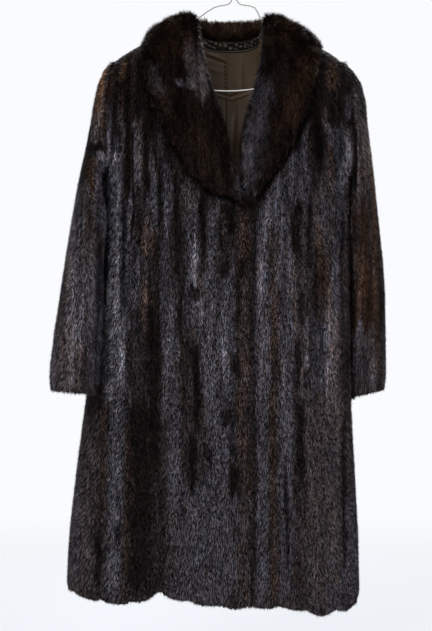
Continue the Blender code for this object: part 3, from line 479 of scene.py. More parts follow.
def sideOfFaces(mesh, wall, tube):
    # 0 for the outer side of a wall, 1 for its inner side, 2 for its edges
    tree = treeOf(mesh)
    beside = {}
    for face in mesh.polygons:
        for edge in face.edge_keys:
            beside.setdefault(edge, []).append(face.index)
    side = [2] * len(mesh.polygons)
    for face in mesh.polygons:
        under = face.center - face.normal * search["start"]
        other = tree.ray_cast(under, -face.normal, wall * search["past"])[1]
        if other and other.dot(face.normal) < search["opposite"]:
            side[face.index] = -1
    if tube:
        walls = [face for face in mesh.polygons if side[face.index] == -1]
        for face in walls:
            level = [other for other in walls if abs(other.center.z - face.center.z) < search["level"]]
            axis = sum((other.center * other.area for other in level), Vector()) / sum(other.area for other in level)
            side[face.index] = int(face.normal.dot(face.center - axis) < 0)
    middle = sum((face.center * face.area for face in mesh.polygons), Vector())
    middle /= sum(face.area for face in mesh.polygons)
    for start in range(len(side)):
        if side[start] != -1:
            continue
        waiting, together = [start], [start]
        side[start] = 0
        while waiting:
            for edge in mesh.polygons[waiting.pop()].edge_keys:
                for near in beside[edge]:
                    if side[near] == -1:
                        side[near] = 0
                        waiting.append(near)
                        together.append(near)
        facing = sum(mesh.polygons[number].normal.dot(mesh.polygons[number].center - middle)
                     * mesh.polygons[number].area for number in together)
        if facing < 0:
            for number in together:
                side[number] = 1
    return side


def thinCollar(places, normals):
    inset = np.where(inBox(places, neck["stand"]), collar["standInset"], collar["rollInset"])
    places -= normals * inset[:, None]
    foot = softStep((collar["standTop"] - places[:, 2]) / 0.01)
    foot *= softStep((collar["standHalf"] - fromNeck(places)) / 0.02) * inBox(places, neck["standFront"])
    places[:, 2] -= foot * collar["standDrop"]
    places[:, 1] -= foot * collar["standForward"]
    high = softStep((places[:, 2] - collar["rollLow"]) / 0.03)
    aside = softStep((fromNeck(places) - collar["napeHalf"]) / 0.03)
    places[:, 2] += high * (collar["napeRise"] * (1 - aside) - collar["sideDrop"] * aside)
    for wing, move in collar["wings"]:
        near = np.exp(-np.sum((places[:, [0, 2]] - wing) ** 2, axis=1) / collar["wingReach"] ** 2)
        places[:, [0, 2]] += near[:, None] * move


def thinWall(node, mesh, places, normals):
    # the wall's outer side goes in, which leaves room for the hair
    for spot, reach, move in coat["shaped"].get(node, []):
        near = np.exp(-np.sum(((places - spot) / np.array(reach)) ** 2, axis=1))
        places += near[:, None] * move
    outside, inside, edges = [{spot for face in mesh.polygons if face.material_index == side for spot in face.vertices}
                              for side in range(3)]
    tree = pointTree([(places[spot], spot) for spot in inside])
    sleeve = node.startswith("sleeve")
    armhole = treesOf([name for name in furs if name != "collar" and name.startswith("sleeve") != sleeve])
    for spot in outside - inside:
        partner = tree.find(places[spot] - normals[spot] * coat["wall"])[1]
        shut = spot in edges and places[spot][2] > coat["armholeFoot"] and any(
            near.find_nearest(Vector(places[spot]), sewnReach)[0] for near in armhole)
        places[spot] += (places[partner] - places[spot]) * (coat["seamInset"] if shut else coat["inset"])


def scallopHem(skin):
    cutFiner(skin, hems["cuts"], lambda spot: spot.z < hems["top"])
    places = placesOf(skin.data)
    hem = softStep((hems["top"] - places[:, 2]) / hems["fade"])
    across = places[:, 0] - hems["notchX"]
    lobe = np.abs(np.sin(np.pi * across / hems["scallop"])) ** hems["round"]
    drawn = np.exp(-(across / hems["notchWidth"]) ** 2) * (places[:, 1] < 0)
    places[:, 2] -= hem * (hems["drop"] * (lobe - hems["level"]) - hems["notchRise"] * drawn)
    setPlaces(skin.data, places)


def thinSkin(node, name):
    skin = copyNode(node, name)
    mesh = skin.data
    places, normals = placesOf(mesh), normalsOf(mesh)
    if node == "collar":
        mesh.polygons.foreach_set("material_index", [0] * len(mesh.polygons))
        thinCollar(places, normals)
    else:
        mesh.polygons.foreach_set("material_index", sideOfFaces(mesh, coat["wall"], node.startswith("sleeve")))
        thinWall(node, mesh, places, normals)
    setPlaces(mesh, places)
    smooth = skin.modifiers.new("smooth", "SUBSURF")
    smooth.subdivision_type = "SIMPLE"
    smooth.levels = smooth.render_levels = coat["smooth"]
    choose(skin)
    bpy.ops.object.modifier_apply(modifier="smooth")
    if node in hems["pieces"]:
        scallopHem(skin)
    skin.data.shade_smooth()
    return skin


def freeBorders(skin, sewn):
    # places on the wall's edges that no neighbouring piece is sewn to
    trees = treesOf(sewn)
    mesh = skin.data
    found = []
    for face in mesh.polygons:
        if face.material_index != 2:
            continue
        hangs = face.normal.z < coat["hangs"]
        for spot in [face.center] + [mesh.vertices[number].co for number in face.vertices]:
            if hangs or not any(tree.find_nearest(spot, sewnReach)[0] for tree in trees):
                found.append(tuple(spot))
    return found


# fur: one flat pointed blade for each lock of hair, rooted on the skin

Streak = namedtuple("Streak", "topX topZ footX footZ reach strength")

# bands down the body and the sleeves: the browns of the pelts as they were matched, painted sheen and highlights, and
# painted shade in creases, folds and gaps such as between sleeve and body
coatStreaks = {
    "silverSheen": [
        (-0.2285, -0.29, -0.229, -0.55, 0.01, 1.0), (-0.217, -0.38, -0.217, -0.551, 0.01, 1.0),
        (-0.184, -0.335, -0.184, -0.47, 0.007, 1.0), (-0.153, -0.399, -0.153, -0.551, 0.009, 1.0),
        (-0.125, -0.42, -0.125, -0.551, 0.009, 0.9), (0.137, -0.303, 0.137, -0.494, 0.008, 0.95),
        (0.083, -0.387, 0.083, -0.532, 0.018, 0.9), (-0.219, -0.475, -0.219, -0.85, 0.026, 0.95),
        (-0.2, -0.475, -0.2, -0.66, 0.013, 0.9), (-0.15, -0.405, -0.15, -0.525, 0.009, 0.8),
        (-0.184, -0.57, -0.184, -0.665, 0.008, 0.9), (-0.126, -0.53, -0.127, -0.895, 0.009, 0.8),
        (-0.058, -0.665, -0.057, -0.85, 0.008, 0.9), (-0.114, -0.665, -0.112, -1.055, 0.015, 0.85),
        (-0.077, -0.475, -0.077, -0.725, 0.012, 0.85), (-0.041, -0.475, -0.041, -0.895, 0.014, 0.8),
        (-0.012, -0.605, -0.012, -0.86, 0.02, 0.95), (-0.05, -1.02, -0.055, -1.245, 0.08, 0.78),
        (-0.024, -0.855, -0.026, -1.045, 0.03, 0.75), (-0.221, -0.86, -0.232, -1.24, 0.018, 0.95),
        (-0.3, -0.98, -0.308, -1.24, 0.01, 0.6), (0.058, -0.49, 0.058, -1.24, 0.012, 0.85),
        (0.101, -0.51, 0.104, -1.24, 0.014, 0.85), (0.119, -0.375, 0.119, -0.475, 0.02, 0.85),
        (0.188, -0.333, 0.188, -0.372, 0.008, 0.9), (0.2, -0.34, 0.2, -0.4, 0.006, 0.75),
        (0.208, -0.395, 0.209, -0.53, 0.015, 0.9), (0.2, -0.535, 0.2, -0.7, 0.009, 0.8),
        (0.164, -0.69, 0.164, -0.85, 0.022, 0.9), (0.227, -1.045, 0.23, -1.24, 0.014, 0.7),
        (-0.272, -0.453, -0.272, -0.478, 0.008, 0.9), (-0.252, -0.585, -0.256, -0.84, 0.013, 0.8),
        (0.248, -0.735, 0.252, -0.84, 0.016, 0.6), (-0.25, -0.4, -0.253, -0.54, 0.012, 0.7),
    ],
    "highlight": [
        (-0.23, -0.4, -0.228, -0.59, 0.009, 0.75), (0.226, -0.27, 0.228, -0.318, 0.01, 0.85),
        (0.247, -0.27, 0.249, -0.315, 0.006, 0.4), (-0.221, -0.56, -0.219, -0.82, 0.016, 0.75),
        (-0.226, -0.46, -0.225, -0.6, 0.015, 1.1), (-0.236, -0.64, -0.238, -0.85, 0.014, 1.15),
        (-0.077, -0.55, -0.077, -0.635, 0.008, 0.4), (-0.222, -0.87, -0.231, -1.2, 0.01, 0.35),
        (0.057, -0.495, 0.057, -0.57, 0.009, 0.25), (0.214, -0.333, 0.214, -0.44, 0.014, 0.7),
        (-0.267, -0.34, -0.267, -0.365, 0.008, 0.7), (-0.25, -0.385, -0.25, -0.402, 0.011, 0.7),
        (-0.28, -0.56, -0.296, -0.76, 0.026, 0.45), (-0.29, -0.45, -0.293, -0.68, 0.02, 0.4),
    ],
    "shade": [
        (-0.226, -0.277, -0.227, -0.38, 0.004, 0.95), (-0.2, -0.235, -0.202, -0.475, 0.007, 1.0),
        (-0.191, -0.353, -0.19, -0.551, 0.003, 0.95), (-0.166, -0.246, -0.162, -0.475, 0.005, 0.95),
        (-0.14, -0.38, -0.14, -0.53, 0.004, 0.9), (-0.108, -0.42, -0.108, -0.551, 0.005, 0.95),
        (-0.176, -0.205, -0.18, -0.3, 0.007, 0.8), (0.166, -0.2, 0.166, -0.3, 0.008, 1.0),
        (0.233, -0.315, 0.235, -0.456, 0.005, 0.95), (0.203, -0.3, 0.204, -0.4, 0.004, 0.6),
        (-0.208, -0.475, -0.209, -0.625, 0.004, 0.8), (-0.145, -0.245, -0.144, -0.41, 0.006, 0.8),
        (-0.151, -0.665, -0.149, -1.0, 0.011, 0.95), (-0.17, -0.86, -0.176, -1.225, 0.032, 0.85),
        (-0.107, -0.455, -0.107, -0.645, 0.005, 0.9), (-0.098, -0.665, -0.098, -0.78, 0.004, 0.75),
        (-0.058, -0.455, -0.058, -0.625, 0.006, 0.85), (-0.071, -0.64, -0.071, -0.672, 0.011, 0.95),
        (-0.01, -0.485, -0.01, -0.54, 0.021, 0.85), (-0.018, -0.54, -0.018, -0.61, 0.01, 0.85),
        (0.02, -0.595, 0.02, -0.625, 0.009, 0.9), (0.005, -0.775, 0.005, -0.812, 0.01, 0.85),
        (-0.008, -0.876, -0.008, -0.906, 0.014, 0.9), (-0.048, -0.945, -0.048, -0.975, 0.009, 0.85),
        (-0.001, -0.94, -0.001, -0.965, 0.008, 0.8), (0.001, -0.975, 0.004, -1.04, 0.01, 0.95),
        (-0.068, -0.76, -0.069, -0.905, 0.009, 0.9), (-0.075, -0.922, -0.075, -1.042, 0.01, 1.0),
        (-0.137, -1.0, -0.135, -1.235, 0.007, 0.55), (0.214, -0.9, 0.216, -1.16, 0.005, 0.8),
        (-0.257, -1.12, -0.26, -1.22, 0.006, 0.8), (-0.219, -1.1, -0.219, -1.125, 0.008, 0.8),
        (0.042, -0.485, 0.042, -1.24, 0.003, 0.4), (0.103, -1.005, 0.105, -1.18, 0.004, 0.8),
        (0.125, -0.485, 0.125, -0.508, 0.007, 0.85), (0.121, -0.51, 0.121, -0.59, 0.009, 0.85),
        (0.146, -0.455, 0.146, -0.6, 0.005, 0.85), (0.133, -0.665, 0.133, -0.725, 0.007, 0.8),
        (0.125, -0.76, 0.125, -0.84, 0.006, 0.8), (0.145, -0.8, 0.145, -0.84, 0.009, 0.8),
        (0.162, -0.205, 0.162, -0.4, 0.016, 0.9), (0.155, -0.285, 0.155, -0.455, 0.005, 0.8),
        (0.212, -0.47, 0.212, -0.86, 0.004, 0.45), (0.128, -0.855, 0.13, -1.01, 0.011, 0.85),
        (-0.26, -0.368, -0.262, -0.385, 0.022, 0.95),
    ],
    "rose": [
        (-0.21, -0.285, -0.208, -0.39, 0.006, 0.6), (-0.179, -0.315, -0.178, -0.456, 0.006, 1.0),
        (-0.088, -0.44, -0.088, -0.53, 0.009, 0.8), (0.25, -0.24, 0.262, -0.41, 0.02, 0.5),
        (0.253, -0.375, 0.26, -0.48, 0.014, 0.5), (0.246, -0.258, 0.251, -0.34, 0.013, 1.0),
        (0.178, -0.3, 0.178, -0.35, 0.006, 0.7), (-0.285, -0.88, -0.298, -1.24, 0.028, 1.0),
        (0.196, -0.69, 0.204, -0.98, 0.011, 0.9), (0.145, -0.645, 0.145, -0.8, 0.008, 0.75),
        (0.19, -0.665, 0.192, -0.86, 0.016, 0.9), (0.162, -0.875, 0.166, -1.24, 0.025, 0.65),
        (-0.3, -0.51, -0.314, -0.84, 0.028, 0.95), (0.24, -0.285, 0.241, -0.475, 0.009, 0.8),
        (0.252, -0.725, 0.256, -0.84, 0.024, 0.9), (-0.258, -0.3, -0.262, -0.37, 0.015, 0.6),
    ],
    "amber": [
        (-0.212, -0.212, -0.214, -0.245, 0.01, 0.85), (0.192, -0.215, 0.192, -0.268, 0.012, 0.6),
        (-0.25, -0.215, -0.258, -0.33, 0.022, 0.95), (-0.266, -0.395, -0.27, -0.47, 0.014, 0.95),
        (-0.268, -0.47, -0.274, -0.6, 0.014, 0.6),
    ],
    "umber": [
        (0.191, -0.365, 0.191, -0.475, 0.012, 0.95), (-0.306, -0.745, -0.31, -0.85, 0.024, 0.75),
        (0.258, -0.4, 0.266, -0.74, 0.036, 0.95),
    ],
    "brown": [
        (0.111, -0.418, 0.111, -0.475, 0.006, 0.9), (0.252, -0.33, 0.264, -0.455, 0.022, 0.75),
        (-0.159, -0.505, -0.159, -0.59, 0.021, 0.65), (-0.16, -0.645, -0.16, -0.74, 0.016, 0.65),
        (0.023, -0.485, 0.023, -1.245, 0.013, 0.68), (-0.245, -0.855, -0.252, -1.105, 0.01, 0.7),
        (-0.199, -0.91, -0.206, -1.24, 0.01, 0.6), (0.079, -0.625, 0.08, -1.24, 0.009, 0.6),
        (0.179, -0.53, 0.179, -0.665, 0.018, 0.85), (0.174, -0.665, 0.174, -0.725, 0.009, 0.6),
        (0.2, -0.87, 0.2, -0.935, 0.015, 0.75), (0.186, -1.005, 0.186, -1.05, 0.011, 0.75),
        (0.195, -1.04, 0.197, -1.22, 0.011, 0.75), (0.151, -1.045, 0.152, -1.16, 0.005, 0.6),
        (0.283, -0.74, 0.283, -0.83, 0.011, 0.7),
    ],
}

# on the collar: painted sheen, highlights and shade over its browns
collarStreaks = {
    "rose": [
        (-0.09, -0.165, -0.06, -0.285, 0.012, 0.8), (-0.064, -0.19, -0.043, -0.28, 0.011, 0.95),
        (-0.092, -0.253, -0.081, -0.27, 0.006, 0.8), (-0.152, -0.215, -0.143, -0.272, 0.011, 0.95),
    ],
    "highlight": [
        (-0.104, -0.251, -0.097, -0.266, 0.004, 0.75), (-0.08, -0.25, -0.072, -0.272, 0.005, 0.75),
        (0.03, -0.375, 0.024, -0.425, 0.01, 0.35),
    ],
    "brown": [
        (-0.133, -0.26, -0.12, -0.33, 0.014, 0.45), (-0.062, -0.345, -0.04, -0.43, 0.02, 0.35),
        (0.07, -0.11, 0.075, -0.18, 0.03, 0.3),
    ],
    "amber": [
        (-0.125, -0.105, -0.112, -0.2, 0.045, 0.3), (0.108, -0.12, 0.095, -0.18, 0.04, 0.25),
        (0.155, -0.175, 0.104, -0.345, 0.02, 0.32),
    ],
    "shade": [
        (0.07, -0.3, 0.045, -0.42, 0.01, 0.5),
    ],
    "silverSheen": [
        (0.056, -0.24, 0.026, -0.465, 0.022, 0.58), (0.045, -0.2, 0.045, -0.25, 0.012, 0.5),
    ],
}

# the coat is in shadow beside the lapels: their outer edges, in X and Z
lapelEdges = [
    [(0.023, -0.479), (-0.05, -0.453), (-0.081, -0.422), (-0.1235, -0.343), (-0.16, -0.27), (-0.176, -0.198)],
    [(0.041, -0.4745), (0.076, -0.427), (0.108, -0.38), (0.141, -0.308), (0.162, -0.232), (0.169, -0.198)],
]

tones = {
    "base": (0.0345, 0.0275, 0.0295),
    "collar": (0.0126, 0.0074, 0.0059),
    # painted sheen: the blue-grey light the fur reflects, laid into its colour
    "silverSheen": (0.086, 0.08, 0.096),
    # painted highlights, brighter than the sheen
    "highlight": (0.16, 0.152, 0.178),
    # a pinkish brown: partly the fur's own tone, partly painted sheen
    "rose": (0.086, 0.068, 0.071),
    "brown": (0.056, 0.035, 0.026),
    "umber": (0.039, 0.0205, 0.0128),
    "amber": (0.088, 0.045, 0.024),
    "shade": (0.0062, 0.0045, 0.0042),
}

coatHair = {
    "length": 0.008, "lift": 31, "width": 0.0013,  # metres, degrees
    "onTop": -0.25,  # how much higher it stands where the piece faces up
    "tousle": 0.35, "strays": 0.05, "tufts": 0.0,
    "tone": "base", "sheenPatches": 1.0, "grain": 1.0,
}

furs = {  # sewn: its neighbours; under: what may lie over it; flat and area: its cut
    "back": {**coatHair, "hairs": 180000, "seed": 11, "flat": (0.62, 1.14), "area": 0.6, "under": ["collar"],
             "sewn": ["front_right", "front_left", "sleeve_right", "sleeve_left", "collar"]},
    "front_right": {**coatHair, "hairs": 180000, "seed": 12, "flat": (0.39, 1.15), "area": 0.36,
                    "under": ["collar"], "sewn": ["back", "sleeve_right", "collar"]},
    "front_left": {**coatHair, "hairs": 145000, "seed": 13, "flat": (0.3, 1.15), "area": 0.28,
                   "under": ["collar", "front_right"], "sewn": ["back", "sleeve_left", "collar"]},
    "sleeve_right": {**coatHair, "hairs": 105000, "seed": 14, "flat": (0.34, 0.66), "area": 0.18,
                     "under": [], "sewn": ["back", "front_right"], "grain": 0.8},
    "sleeve_left": {**coatHair, "hairs": 105000, "seed": 15, "flat": (0.34, 0.66), "area": 0.18,
                    "under": [], "sewn": ["back", "front_left"], "grain": 0.55},
    "collar": {"hairs": 145000, "seed": 16, "flat": (0.14, 1.06), "area": 0.13,
               "under": ["back", "front_right", "front_left"], "sewn": [],
               "length": 0.0125, "lift": 29, "width": 0.0014, "onTop": 0.7,
               "tousle": 1.4, "strays": 0.14, "tufts": 0.7, "tone": "collar", "sheenPatches": 0.5, "grain": 0.62},
}

combing = {
    "half": 0.08,  # from the neck's middle to where the hair leans fully aside
    "inward": 0.45, "overRoll": 0.9, "overShoulder": 0.8,
    "lapelTop": -0.1, "innerSide": 0.01,
    "swirl": 0.4, "scatter": 0.4,
    "strayLift": 1.7, "roll": 70,
}

pelts = {  # strips side by side
    "width": 0.056,
    "lean": {"sleeve_right": 0.1, "sleeve_left": -0.03}, "usualLean": 0.02, "leanFrom": -0.3,
    "turn": 0.05, "drift": 0.018, "fray": 0.5,
    "sheenReach": 0.72, "seam": 0.84,  # how far the painted sheen reaches and the painted seam shade starts, in half widths
    "frontShare": 0.25, "brown": 0.6, "shade": 0.7,
}

streaks = {
    "frontBefore": 0.02,  # they are drawn before this Y
    "wander": 0.008, "drop": 0.06, "fray": 0.9,  # how far their lines, ends and sides stray
    "longestFade": 0.04,
    "steady": ("shade", "umber"),  # the other tones come in patches
    "lapelShadow": 0.017, "lapelFray": 0.004,
    "nape": 0.36,
}

shading = {
    "chestFrom": -0.5, "chest": 0.4,  # darker over the chest
    "shoulderFrom": -0.41, "shoulder": (0.38, 0.5, 0.6),  # and browner on the shoulders
    # painted sheen in patches over the upper coat
    "sheenFrom": -0.92, "fineSheen": 1.2, "broadSheen": 1.7, "sheenMiddle": 1.3,
    "openingShade": 0.6, "openingFoot": -0.17, "openingBack": 0.045,
    "cast": (0.3, 0.0, -0.3),
    "rootShade": 0.15, "tuckedRoot": 0.75,  # hair roots are painted dark, as shade deep in the fur; behind the neck less, a painted lightening of the shadowed nape
}


def napAt(name, places, normals):
    # the way the hair is combed: down the coat, and down each lapel to the break
    across = np.clip((places[:, 0] - neck["middle"]) / combing["half"], -1, 1)
    pull = np.zeros_like(places)
    pull[:, 2] = -1
    if name == "collar":
        pull[:, 0] = -combing["inward"] * across * softStep((combing["lapelTop"] - places[:, 2]) / 0.06)
        pull[:, 0] += combing["overRoll"] * across * np.maximum(normals[:, 2], 0)
        turned = softStep((places[:, 1] - combing["innerSide"]) / 0.02) * softStep(1.4 - 1.6 * normals[:, 1])
        pull[:, 2] += 2 * (turned * behindNeck(places))  # up, on the inner side
    else:
        pull[:, 0] = combing["overShoulder"] * across * np.maximum(normals[:, 2], 0) ** 2
    return unit(pull - normals * np.sum(pull * normals, axis=1, keepdims=True))


def raiseShare(shares, tone, share):
    shares[tone] = np.maximum(shares[tone], share)


def peltShares(name, places, facing, shares):
    # painted sheen down the middle of each strip, painted shade where two are sewn
    lean = pelts["lean"].get(name, pelts["usualLean"])
    side = places[:, 0] + pelts["turn"] * facing[:, 0] + lean * (places[:, 2] - pelts["leanFrom"])
    side += (cloud("drift", places) - 0.5) * pelts["drift"]
    strip = np.floor(side / pelts["width"])
    across = np.abs(side / pelts["width"] - strip - 0.5) * 2
    fray = (cloud("peltFray", places) - 0.5) * pelts["fray"]
    glow = 0.62 + 0.38 * np.sin(strip * 2.4 + 1.0)  # no two strips are alike
    glow *= 0.15 + 1.5 * softStep(cloud("peltGlow", places) * 1.6 - 0.3)
    browns = softStep((cloud("browns", places) - 0.55) / 0.2)
    weight = np.where(places[:, 1] < streaks["frontBefore"], pelts["frontShare"], 1.0)
    raiseShare(shares, "silverSheen", softStep((pelts["sheenReach"] + fray - across) / 0.5) * glow * weight)
    raiseShare(shares, "brown", browns * pelts["brown"] * weight)
    raiseShare(shares, "shade", softStep((across + fray - pelts["seam"]) / 0.15) * pelts["shade"] * weight)


def streakShares(name, places, facing):
    # how much of each tone lies at each place
    shares = {tone: np.zeros(len(places)) for tone in tones if tone not in ("base", "collar")}
    front = places[:, 1] < streaks["frontBefore"]
    wander = (cloud("wander", places) - 0.5) * streaks["wander"]
    drop = (cloud("drop", places) - 0.5) * streaks["drop"]
    fray = (cloud("fray", places) - 0.5) * streaks["fray"]
    patchy = 0.5 + 0.9 * cloud("patchy", places)
    for tone, rows in (collarStreaks if name == "collar" else coatStreaks).items():
        for streak in [Streak(*row) for row in rows]:
            tall = streak.topZ - streak.footZ
            along = (streak.topZ - places[:, 2]) / tall
            middle = streak.topX + (streak.footX - streak.topX) * along
            reach = softStep(1.35 + fray - 1.05 * np.abs(places[:, 0] + wander - middle) / (streak.reach + 0.001))
            fade = min(0.3 * tall, streaks["longestFade"])
            shift = drop * min(tall / 0.1, 1)
            ends = softStep((along * tall + shift) / fade + 0.5) * softStep(((1 - along) * tall - shift) / fade + 0.5)
            raiseShare(shares, tone, reach * ends * streak.strength * front)
    for tone in shares:
        if tone not in streaks["steady"]:
            shares[tone] *= patchy
    if name == "collar":
        # an amber tone behind the neck: partly the fur's own, partly painted light on the shadowed nape
        raiseShare(shares, "amber", inBox(places, neck["nape"]) * streaks["nape"] * cloud("nape", places))
    else:
        peltShares(name, places, facing, shares)
        for line in lapelEdges:
            for start, end in zip(line, line[1:]):
                away = nearLine(places, start, end)[0] + fray * streaks["lapelFray"]
                raiseShare(shares, "shade", softStep((streaks["lapelShadow"] - away) / 0.01) * front)
    return shares


def hairyFaces(mesh, under):
    # the skin's outer and edge triangles, and how much hair each takes
    mesh.calc_loop_triangles()
    owners = readNumbers(mesh.loop_triangles, "polygon_index", np.int32)
    sides = readNumbers(mesh.polygons, "material_index", np.int32)
    corners = readNumbers(mesh.loop_triangles, "vertices", np.int32, 3)[sides[owners] != 1]
    places = placesOf(mesh)[corners]
    facing = np.cross(places[:, 1] - places[:, 0], places[:, 2] - places[:, 0])
    weights = np.linalg.norm(facing, axis=1) / 2
    facing = unit(facing)
    middles = places.mean(axis=1) + facing * coat["wall"] * coat["inset"]
    covers = treesOf(under)
    for number, (middle, way) in enumerate(zip(middles, facing)):
        if middle[1] > coat["shownBehind"] and way[1] < coat["shownFacing"]:
            continue
        if any(tree.ray_cast(Vector(middle), Vector(way), coat["coverReach"])[0] for tree in covers):
            weights[number] *= coat["coveredHair"]
    return corners, weights


def rootsOn(mesh, corners, weights, count, chance):
    # spread evenly, with the normals there
    ends = np.cumsum(weights)
    picked = np.searchsorted(ends, (np.arange(count) + chance.random(count)) / count * ends[-1])
    picked = corners[np.minimum(picked, len(corners) - 1)]
    first, second = chance.random(count), chance.random(count)
    over = first + second > 1
    first[over], second[over] = 1 - first[over], 1 - second[over]
    parts = np.stack([1 - first - second, first, second], axis=1)[:, :, None]
    return np.sum(placesOf(mesh)[picked] * parts, axis=1), unit(np.sum(normalsOf(mesh)[picked] * parts, axis=1))


def combHair(name, roots, up, plan, chance):
    # the way each hair is combed, and the way it points
    seed = plan["seed"]
    nap = napAt(name, roots, up)
    swirl = (cloud("swirl", roots, seed) - 0.5) * combing["swirl"]
    swirl += (cloud("tousle", roots, seed) - 0.5) * plan["tousle"]
    swirl += (chance.random(len(roots)) - 0.5) * combing["scatter"]
    nap = unit(nap + np.cross(nap, up) * swirl[:, None])
    lift = np.radians(plan["lift"]) * (0.65 + 0.7 * chance.random(len(roots)))
    lift *= 0.8 + 0.45 * cloud("lift", roots, seed)
    lift *= 1 + plan["onTop"] * softStep(up[:, 2] * 1.5 - 0.3)
    lift *= np.where(chance.random(len(roots)) < plan["strays"], combing["strayLift"], 1.0)
    return nap, nap * np.cos(lift)[:, None] + up * np.sin(lift)[:, None]


def hairLengths(skin, roots, nap, plan, chance):
    # shorter where an edge is free, so that the tips keep its line
    length = plan["length"] * (0.7 + 0.5 * chance.random(len(roots)))
    length *= 1 + plan["tufts"] * (cloud("tufts", roots, plan["seed"]) - 0.5)
    borders = freeBorders(skin, plan["sewn"])
    if not borders:
        return length
    tree = pointTree([(place, number) for number, place in enumerate(borders)])
    gap = np.array([tree.find(root)[0] for root in roots]) - roots
    distance = np.linalg.norm(gap, axis=1)
    ahead = np.sum(gap * nap, axis=1) > -0.3 * distance
    room = np.maximum(distance + coat["overhang"], coat["borderHair"] * (0.6 + 0.8 * chance.random(len(roots))))
    return np.where(ahead, np.minimum(length, room), length)


def hairColours(name, tips, up, plan, chance):
    # linear colours, in grains of a few hairs
    seed = plan["seed"]
    height = tips[:, 2]
    shares = streakShares(name, tips, up)
    colour = np.tile(np.array(tones[plan["tone"]]), (len(tips), 1))
    colour *= (0.5 + cloud("mottle", tips, seed))[:, None]
    if name != "collar":
        chest = softStep((height - shading["chestFrom"]) / 0.08)[:, None]
        shoulder = softStep((height - shading["shoulderFrom"]) / 0.08)[:, None]
        colour *= (1 - shading["chest"] * chest) * (1 - shoulder * np.array(shading["shoulder"]))
    for tone in ("umber", "brown", "amber", "rose", "silverSheen", "highlight", "shade"):
        share = np.clip(shares[tone], 0, 1)[:, None]
        colour = colour * (1 - share) + np.array(tones[tone]) * share
    # painted sheen: the upper coat lighter and darker in patches
    sheenShare = softStep((height - shading["sheenFrom"]) / 0.12) * plan["sheenPatches"]
    sheenPatches = shading["fineSheen"] * cloud("fineSheen", tips) + shading["broadSheen"] * cloud("broadSheen", tips)
    colour *= np.exp(sheenShare * (sheenPatches - shading["sheenMiddle"]))[:, None]
    if name == "collar":
        # in the shade of the neck opening
        inward = softStep(-2 * up[:, 0] * np.sign(tips[:, 0] - neck["middle"]) - 0.2)
        inward *= (height > shading["openingFoot"]) & (tips[:, 1] < shading["openingBack"])
        colour *= (1 - shading["openingShade"] * inward)[:, None]
    grain = softStep(cloud("grain", tips, seed) * 1.7 - 0.35)
    colour *= ((0.14 + 2.8 * grain ** 2) ** plan["grain"])[:, None]
    colour *= (0.6 + 0.8 * chance.random(len(tips)))[:, None]
    return colour * (1 + (cloud("cast", tips, seed) - 0.5)[:, None] * np.array(shading["cast"]))


def layFlat(mesh, points, up):
    # front hair on the left half of the map, back hair on the right
    low, high = points.min(axis=(0, 1)), points.max(axis=(0, 1))
    share = (points - low) / (high - low) * 0.98 + 0.01
    rear = (up[:, 1] > 0)[:, None]
    spread = np.stack([share[:, :, 0] * 0.5 + rear * 0.5, share[:, :, 2]], axis=2)
    mesh.uv_layers.new(name="OFBake").data.foreach_set("uv", spread.astype(np.float32).ravel())


def growFur(name, skin, plan):
    chance = np.random.default_rng(plan["seed"])
    corners, weights = hairyFaces(skin.data, plan["under"])
    roots, up = rootsOn(skin.data, corners, weights, plan["hairs"], chance)
    nap, hair = combHair(name, roots, up, plan, chance)
    tips = roots + hair * hairLengths(skin, roots, nap, plan, chance)[:, None]
    colour = hairColours(name, tips, up, plan, chance)

    # blades, turned a little about their length
    count = len(roots)
    side = unit(np.cross(up, hair))
    roll = np.radians(combing["roll"]) * (chance.random(count) - 0.5)
    side = side * np.cos(roll)[:, None] + np.cross(hair, side) * np.sin(roll)[:, None]
    half = side * (plan["width"] / 2 * (0.7 + 0.6 * chance.random(count)))[:, None]
    points = np.stack([roots + half, roots - half, tips], axis=1)
    mesh = bpy.data.meshes.new(name + "Hair")
    mesh.from_pydata(points.reshape(-1, 3), [], np.arange(count * 3).reshape(-1, 3))
    mesh.validate()
    layFlat(mesh, points, up)

    # roots painted in the fur's shade, tips in full colour
    tucked = behindNeck(roots) * (roots[:, 1] > 0) if name == "collar" else np.zeros(count)
    rootShade = shading["rootShade"] + shading["tuckedRoot"] * tucked
    shades = np.ones((count, 3, 4), np.float32)
    shades[:, :2, :3] = (colour * rootShade[:, None])[:, None, :]
    shades[:, 2, :3] = colour
    mesh.attributes.new("furColour", "FLOAT_COLOR", "POINT").data.foreach_set("color", shades.ravel())
    return addObject(name + "Hair", mesh)


# satin of the neck

satin = {  # finer: faces from Z to Z, within a half width, and how often they are cut
    "lining_back": {"flat": (0.5, 1.05), "area": 0.49, "held": "hung",
                    "finer": [(-0.46, -0.09, 0.12, 3), (-0.31, -0.17, 0.055, 3)]},
    "neck_band": {"flat": (0.15, 0.02), "area": 0.0026, "held": "gathered", "finer": [(-1, 0, 1, 3)]},
    "neck_piping": {"finer": [(-1, 0, 1, 1)]},
}

lining = {
    "pleatX": -0.0093, "pleatTop": -0.19, "pleatFoot": -0.262, "stitchX": -0.0135, "stitch": 0.0078,
    "crease": (0.0, 0.0013, -0.0012),  # beside the pleat: place, half width, rise
    "lip": (-0.005, 0.0035, 0.0009),
    "prick": (-0.0035, 0.0022, -0.0011),
    "wave": 0.0012, "foldDepth": 0.0022, "smooth": 60,
}

